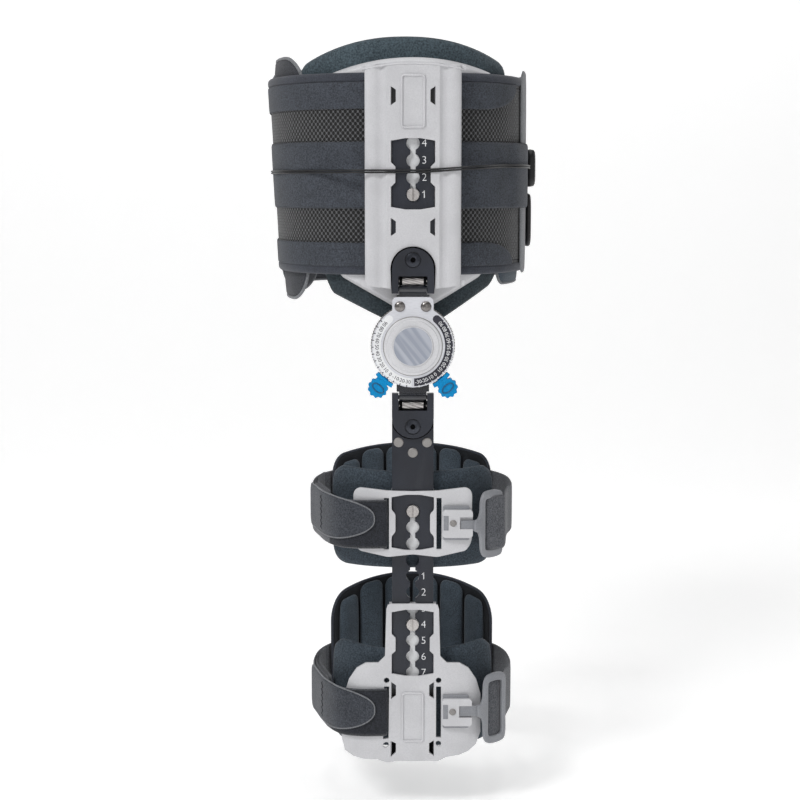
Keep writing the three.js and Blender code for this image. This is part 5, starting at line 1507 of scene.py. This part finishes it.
# %% Hook rings
RING = {"turn": 40.0, "y": -154.4, "thickness": 3.2, "edge": 0.8}
TONGUE = {"from_x": 41.5, "half": 4.6, "depth": 2.1}
RINGS = {"upper": {"x": 57.5, "z": -302.8, "half": 29.4}, "lower": {"x": 61.0, "z": -467.7, "half": 31.3}}
for name, ring in RINGS.items():
    h = ring["half"]
    outer = [(-5, 4.4), (-1.6, 6.2), (0.6, 11), (1.2, 18), (1.8, h - 7), (4.6, h - 1.7), (9, h), (20, h),
             (25.2, h - 1.8), (27, h - 7), (27, 8)]
    window = [(6.4, 8), (6.4, h - 10), (7.0, h - 7.6), (9.4, h - 6.8), (19.4, h - 6.8), (21.8, h - 7.6),
              (22.4, h - 10), (22.4, 8)]
    outlines = [smooth_route(half + [(u, -v) for u, v in half[::-1]], closed=True, steps=5)
                for half in (outer, window)]
    lean = math.radians(RING["turn"])
    along, away = Vector((math.cos(lean), math.sin(lean), 0)), Vector((math.sin(lean), -math.cos(lean), 0))
    place = Matrix((along, Vector(UP), away)).transposed().to_4x4()
    place.translation = at_mm(ring["x"], RING["y"], ring["z"])
    bm = bmesh.new()
    add_cut_plate(bm, outlines, RING["thickness"], RING["edge"], place)
    start, end = TONGUE["from_x"], ring["x"] - 1
    tongue = (end - start, TONGUE["depth"], 2 * TONGUE["half"])
    add_block(bm, tongue, move_to((start + end) / 2, RING["y"], ring["z"]))
    bmesh.ops.recalc_face_normals(bm, faces=bm.faces)
    add_piece(f"{name}_hook_ring", bm, f"{name}_cuff", grey_acetal, "grey_plastic", [f"{name}_ring"],
              smooth=40)
print(len(RINGS), "hook rings")

# %% [markdown]
# The thigh pads.
# In front, a foam pad in loop cloth lies behind each cuff plate, with raised corners. At the back a quilted
# pad has upright channels: the filling swells between rows of stitching, so puffs stand side by side on a
# backing whose near black is painted shade between them. Each puff is a small soft wall of its own, sunk a
# little into the backing.

# %% Front and rear pads
PADS = {
    "upper": {
        "front": {"end_x": 73.0, "top": -258.0, "side_top": -254.0, "bottom": -343.5, "corner": 18.0},
        "rear": {"end_x": 76.0, "top": -259.0, "side_top": -268.0, "bottom": -341.0, "corner": 16.0},
    },
    "lower": {
        "front": {"end_x": 73.0, "top": -417.0, "side_top": -410.0, "bottom": -505.0, "corner": 18.0},
        "rear": {"end_x": 78.0, "top": -387.0, "side_top": -404.0, "bottom": -500.0, "corner": 22.0},
    },
}
PAD_THICKNESS = 9.0
QUILT = {"puffs": 6, "base": 4.5, "puff": 8.0, "sunk": 2.0, "margin": 6.0, "gap": 3.0, "corner": 8.0,
         "top_margin": 1.5, "end_drop": 6.0, "piping": 1.4}


def pad_edges(pad, drop=0.0, corner=None):
    """Rules for a pad's edges, whose top rises or falls towards its ends, moved in by a drop."""
    corner = corner or pad["corner"]

    def rounded(spot):
        return corner * (1 - rounding(spot.ends, corner))

    def top(spot):
        arch = (pad["side_top"] - pad["top"]) * (spot.x / pad["end_x"]) ** 2
        return pad["top"] - drop + arch - rounded(spot)

    return lambda spot: pad["bottom"] + drop + rounded(spot), top


for name, pads in PADS.items():
    body, pad, rear = f"{name}_cuff", pads["front"], pads["rear"]
    start, end = near_distance(thigh, -pad["end_x"]), near_distance(thigh, pad["end_x"])
    bm = soft_wall(thigh, start, end, *pad_edges(pad), -PAD_THICKNESS, 0, steps=90, fullness=3.4, edge=5)
    piece = add_piece(f"{name}_front_pad", bm, body, pad_cloth, "foam_cloth", [f"{name}_pad"])
    start, end = (thigh.length - near_distance(thigh, side * rear["end_x"]) for side in (1, -1))
    bottom, top = pad_edges(rear)
    bm = soft_wall(thigh, start, end, bottom, top, -QUILT["base"], 0, steps=90, edge=3)
    piece = add_piece(f"{name}_quilted_pad", bm, body, seam_shade_cloth, "navy_cloth", [f"{name}_rear_pad"])
    wide = (end - start - 2 * QUILT["margin"]) / QUILT["puffs"]
    for i in range(QUILT["puffs"]):
        first = start + QUILT["margin"] + i * wide + QUILT["gap"] / 2
        drop = QUILT["top_margin"] + (QUILT["end_drop"] if i in (0, QUILT["puffs"] - 1) else 0)
        bm = soft_wall(thigh, first, first + wide - QUILT["gap"], *pad_edges(rear, drop, QUILT["corner"]),
                       -QUILT["base"] - QUILT["puff"], QUILT["sunk"] - QUILT["base"], steps=28,
                       fullness=3, edge=9)
        puff = add_piece(f"{name}_puff_{i + 1}", bm, body, quilt_cloth, "navy_cloth")
    bm = tube(*wall_outline(thigh, start, end, bottom, top, -QUILT["base"] / 2), QUILT["piping"], closed=True)
    add_piece(f"{name}_pad_piping", bm, body, binding_cloth, "navy_cloth")
print("four thigh pads")

# %% [markdown]
# The straps.
# Each strap starts in the hook ring, goes round the back of the thigh and into the slot of the cuff plate,
# lying in layers where it was folded to fit. Its free end comes back through the slot as a tab with a round
# tip, pressed on a dark patch of loop. A zigzag holds the tab's fold.

# %% Routes and edges of the straps
CUFFS = {
    "upper": {"strap_z": -302.0, "tab_z": -297.0, "tab_half": 19.0, "spread": 2.0,
              "entry": [(8, -1.0), (13, 1.4), (20, 3.0), (25.5, 3.2), (29.4, 0.4)]},
    "lower": {"strap_z": -470.0, "tab_z": -467.0, "tab_half": 20.0, "spread": 6.5,
              "entry": [(6.8, -0.8), (14, -0.6), (22.5, -3.1)]},
}
STRAP = {"thickness": 2.2, "half": 21.5, "join_x": 83.0, "loop_points": 17, "gap": 0.6, "spread_share": 0.15}
STRAP_FRONT = [(-74, -128), (-62, -146.5), (-47, -152.6), (-30, -152.5), (-24, -152), (-22.5, -149)]
TAB = {"thickness": 2.0, "above": 0.3, "short_by": 13.0, "length": 110.0, "round": 48.0, "tip": 0.06,
       "fold": 9.0}


def strap_path(ring_x, entry):
    """The strap's route seen from above. Each entry point is a reach along the ring and a lift off it."""
    lean = math.radians(RING["turn"])
    on_ring = [(ring_x + reach * math.cos(lean) + lift * math.sin(lean),
                RING["y"] + reach * math.sin(lean) - lift * math.cos(lean)) for reach, lift in entry]
    first = near_distance(thigh, STRAP["join_x"]) - thigh.length
    last = near_distance(thigh, -STRAP["join_x"])
    out = STRAP["gap"] + STRAP["thickness"] / 2
    loop = [thigh.at(d, out) for d in np.linspace(first, last, STRAP["loop_points"])]
    return Path(smooth_route([*on_ring, *loop, *STRAP_FRONT]))


def strap_edges(cuff):
    """Rules for a strap's edges, which spread a little where it turns in the ring."""
    def half(spot):
        return STRAP["half"] + cuff["spread"] * max(0.0, 1 - spot.share / STRAP["spread_share"])

    return lambda spot: cuff["strap_z"] - half(spot), lambda spot: cuff["strap_z"] + half(spot)


def tab_edges(cuff):
    """Rules for a tab's edges: a round tip at its end and small round corners at its fold."""
    def half(spot):
        tip = TAB["tip"] + (1 - TAB["tip"]) * rounding(spot.last, TAB["round"])
        return cuff["tab_half"] * tip - TAB["fold"] * (1 - rounding(TAB["length"] - spot.last, TAB["fold"]))

    return lambda spot: cuff["tab_z"] - half(spot), lambda spot: cuff["tab_z"] + half(spot)


strap_paths = {name: strap_path(RINGS[name]["x"], cuff["entry"]) for name, cuff in CUFFS.items()}
for name, path in strap_paths.items():
    print(f"{name} strap {path.length:.0f} mm long and {2 * STRAP['half']:.0f} mm wide")

# %% Straps and tabs
LAYER = {"count": 2, "from": 178.0, "to": 72.0, "rise": 1.4, "first": 0.8, "thinner": 0.4}
PATCH_STRIP = {"from": 60.0, "to": 2.0, "inset": 1.0, "above": 0.02, "thickness": 0.26}
TAB_RIM = {"radius": 0.7, "share": 0.6}
ZIGZAG = {"at": 62.0, "wide": 2.6, "turns": 13, "share": 0.84, "above": 0.1, "radius": 0.45}
for name, cuff in CUFFS.items():
    path, body, z = strap_paths[name], f"{name}_cuff", cuff["strap_z"]
    half = STRAP["thickness"] / 2
    bm = soft_wall(path, 0, path.length, *strap_edges(cuff), -half, half, steps=220, rows=16, fullness=5,
                   edge=1.5)
    strap = add_piece(f"{name}_thigh_strap", bm, body, strap_cloth, "webbing", [f"{name}_strap"])
    for layer in range(1, LAYER["count"] + 1):
        sunk = half + (layer - LAYER["first"]) * STRAP["thickness"]
        inner = LAYER["thinner"] - sunk - STRAP["thickness"]
        top = z + STRAP["half"] + layer * LAYER["rise"]
        bm = soft_wall(path, path.length - LAYER["from"], path.length - LAYER["to"], z - STRAP["half"], top,
                       inner, -sunk, steps=80, rows=12, edge=6)
        add_piece(f"{name}_strap_layer_{layer}", bm, body, strap_cloth, "webbing")
    end = path.length - TAB["short_by"]
    tab_span, (low, high), inner = (end - TAB["length"], end), tab_edges(cuff), half + TAB["above"]
    bm = soft_wall(path, *tab_span, low, high, inner, inner + TAB["thickness"], steps=120, rows=16, edge=2)
    tab = add_piece(f"{name}_strap_end", bm, body, tab_cloth, "webbing", [f"{name}_strap_tab"])
    edge = wall_outline(path, *tab_span, low, high, inner + TAB["thickness"] * TAB_RIM["share"])
    bm = tube(*edge, TAB_RIM["radius"], sides=8, closed=True)
    rim = add_piece(f"{name}_tab_rim", bm, body, edging_cloth, "webbing")
    tall, under = STRAP["half"] - PATCH_STRIP["inset"], half + PATCH_STRIP["above"]
    bm = soft_wall(path, path.length - PATCH_STRIP["from"], path.length - PATCH_STRIP["to"], z - tall,
                   z + tall, under, under + PATCH_STRIP["thickness"], steps=60, rows=12, fullness=6, edge=1)
    add_piece(f"{name}_loop_patch", bm, body, patch_cloth, "webbing")
    distances = [end - ZIGZAG["at"] + ZIGZAG["wide"] * (-1) ** i for i in range(ZIGZAG["turns"])]
    reach = ZIGZAG["share"] * cuff["tab_half"]
    heights = np.linspace(cuff["tab_z"] - reach, cuff["tab_z"] + reach, ZIGZAG["turns"])
    seam_line = along_wall(path, distances, heights, inner + TAB["thickness"] + ZIGZAG["above"])
    bm = tube(*seam_line, ZIGZAG["radius"], sides=6)
    seam = add_piece(f"{name}_zigzag", bm, body, patch_cloth, "webbing")
    cut_area(path, *tab_span, low, high)
print(len(CUFFS), "straps with tabs")
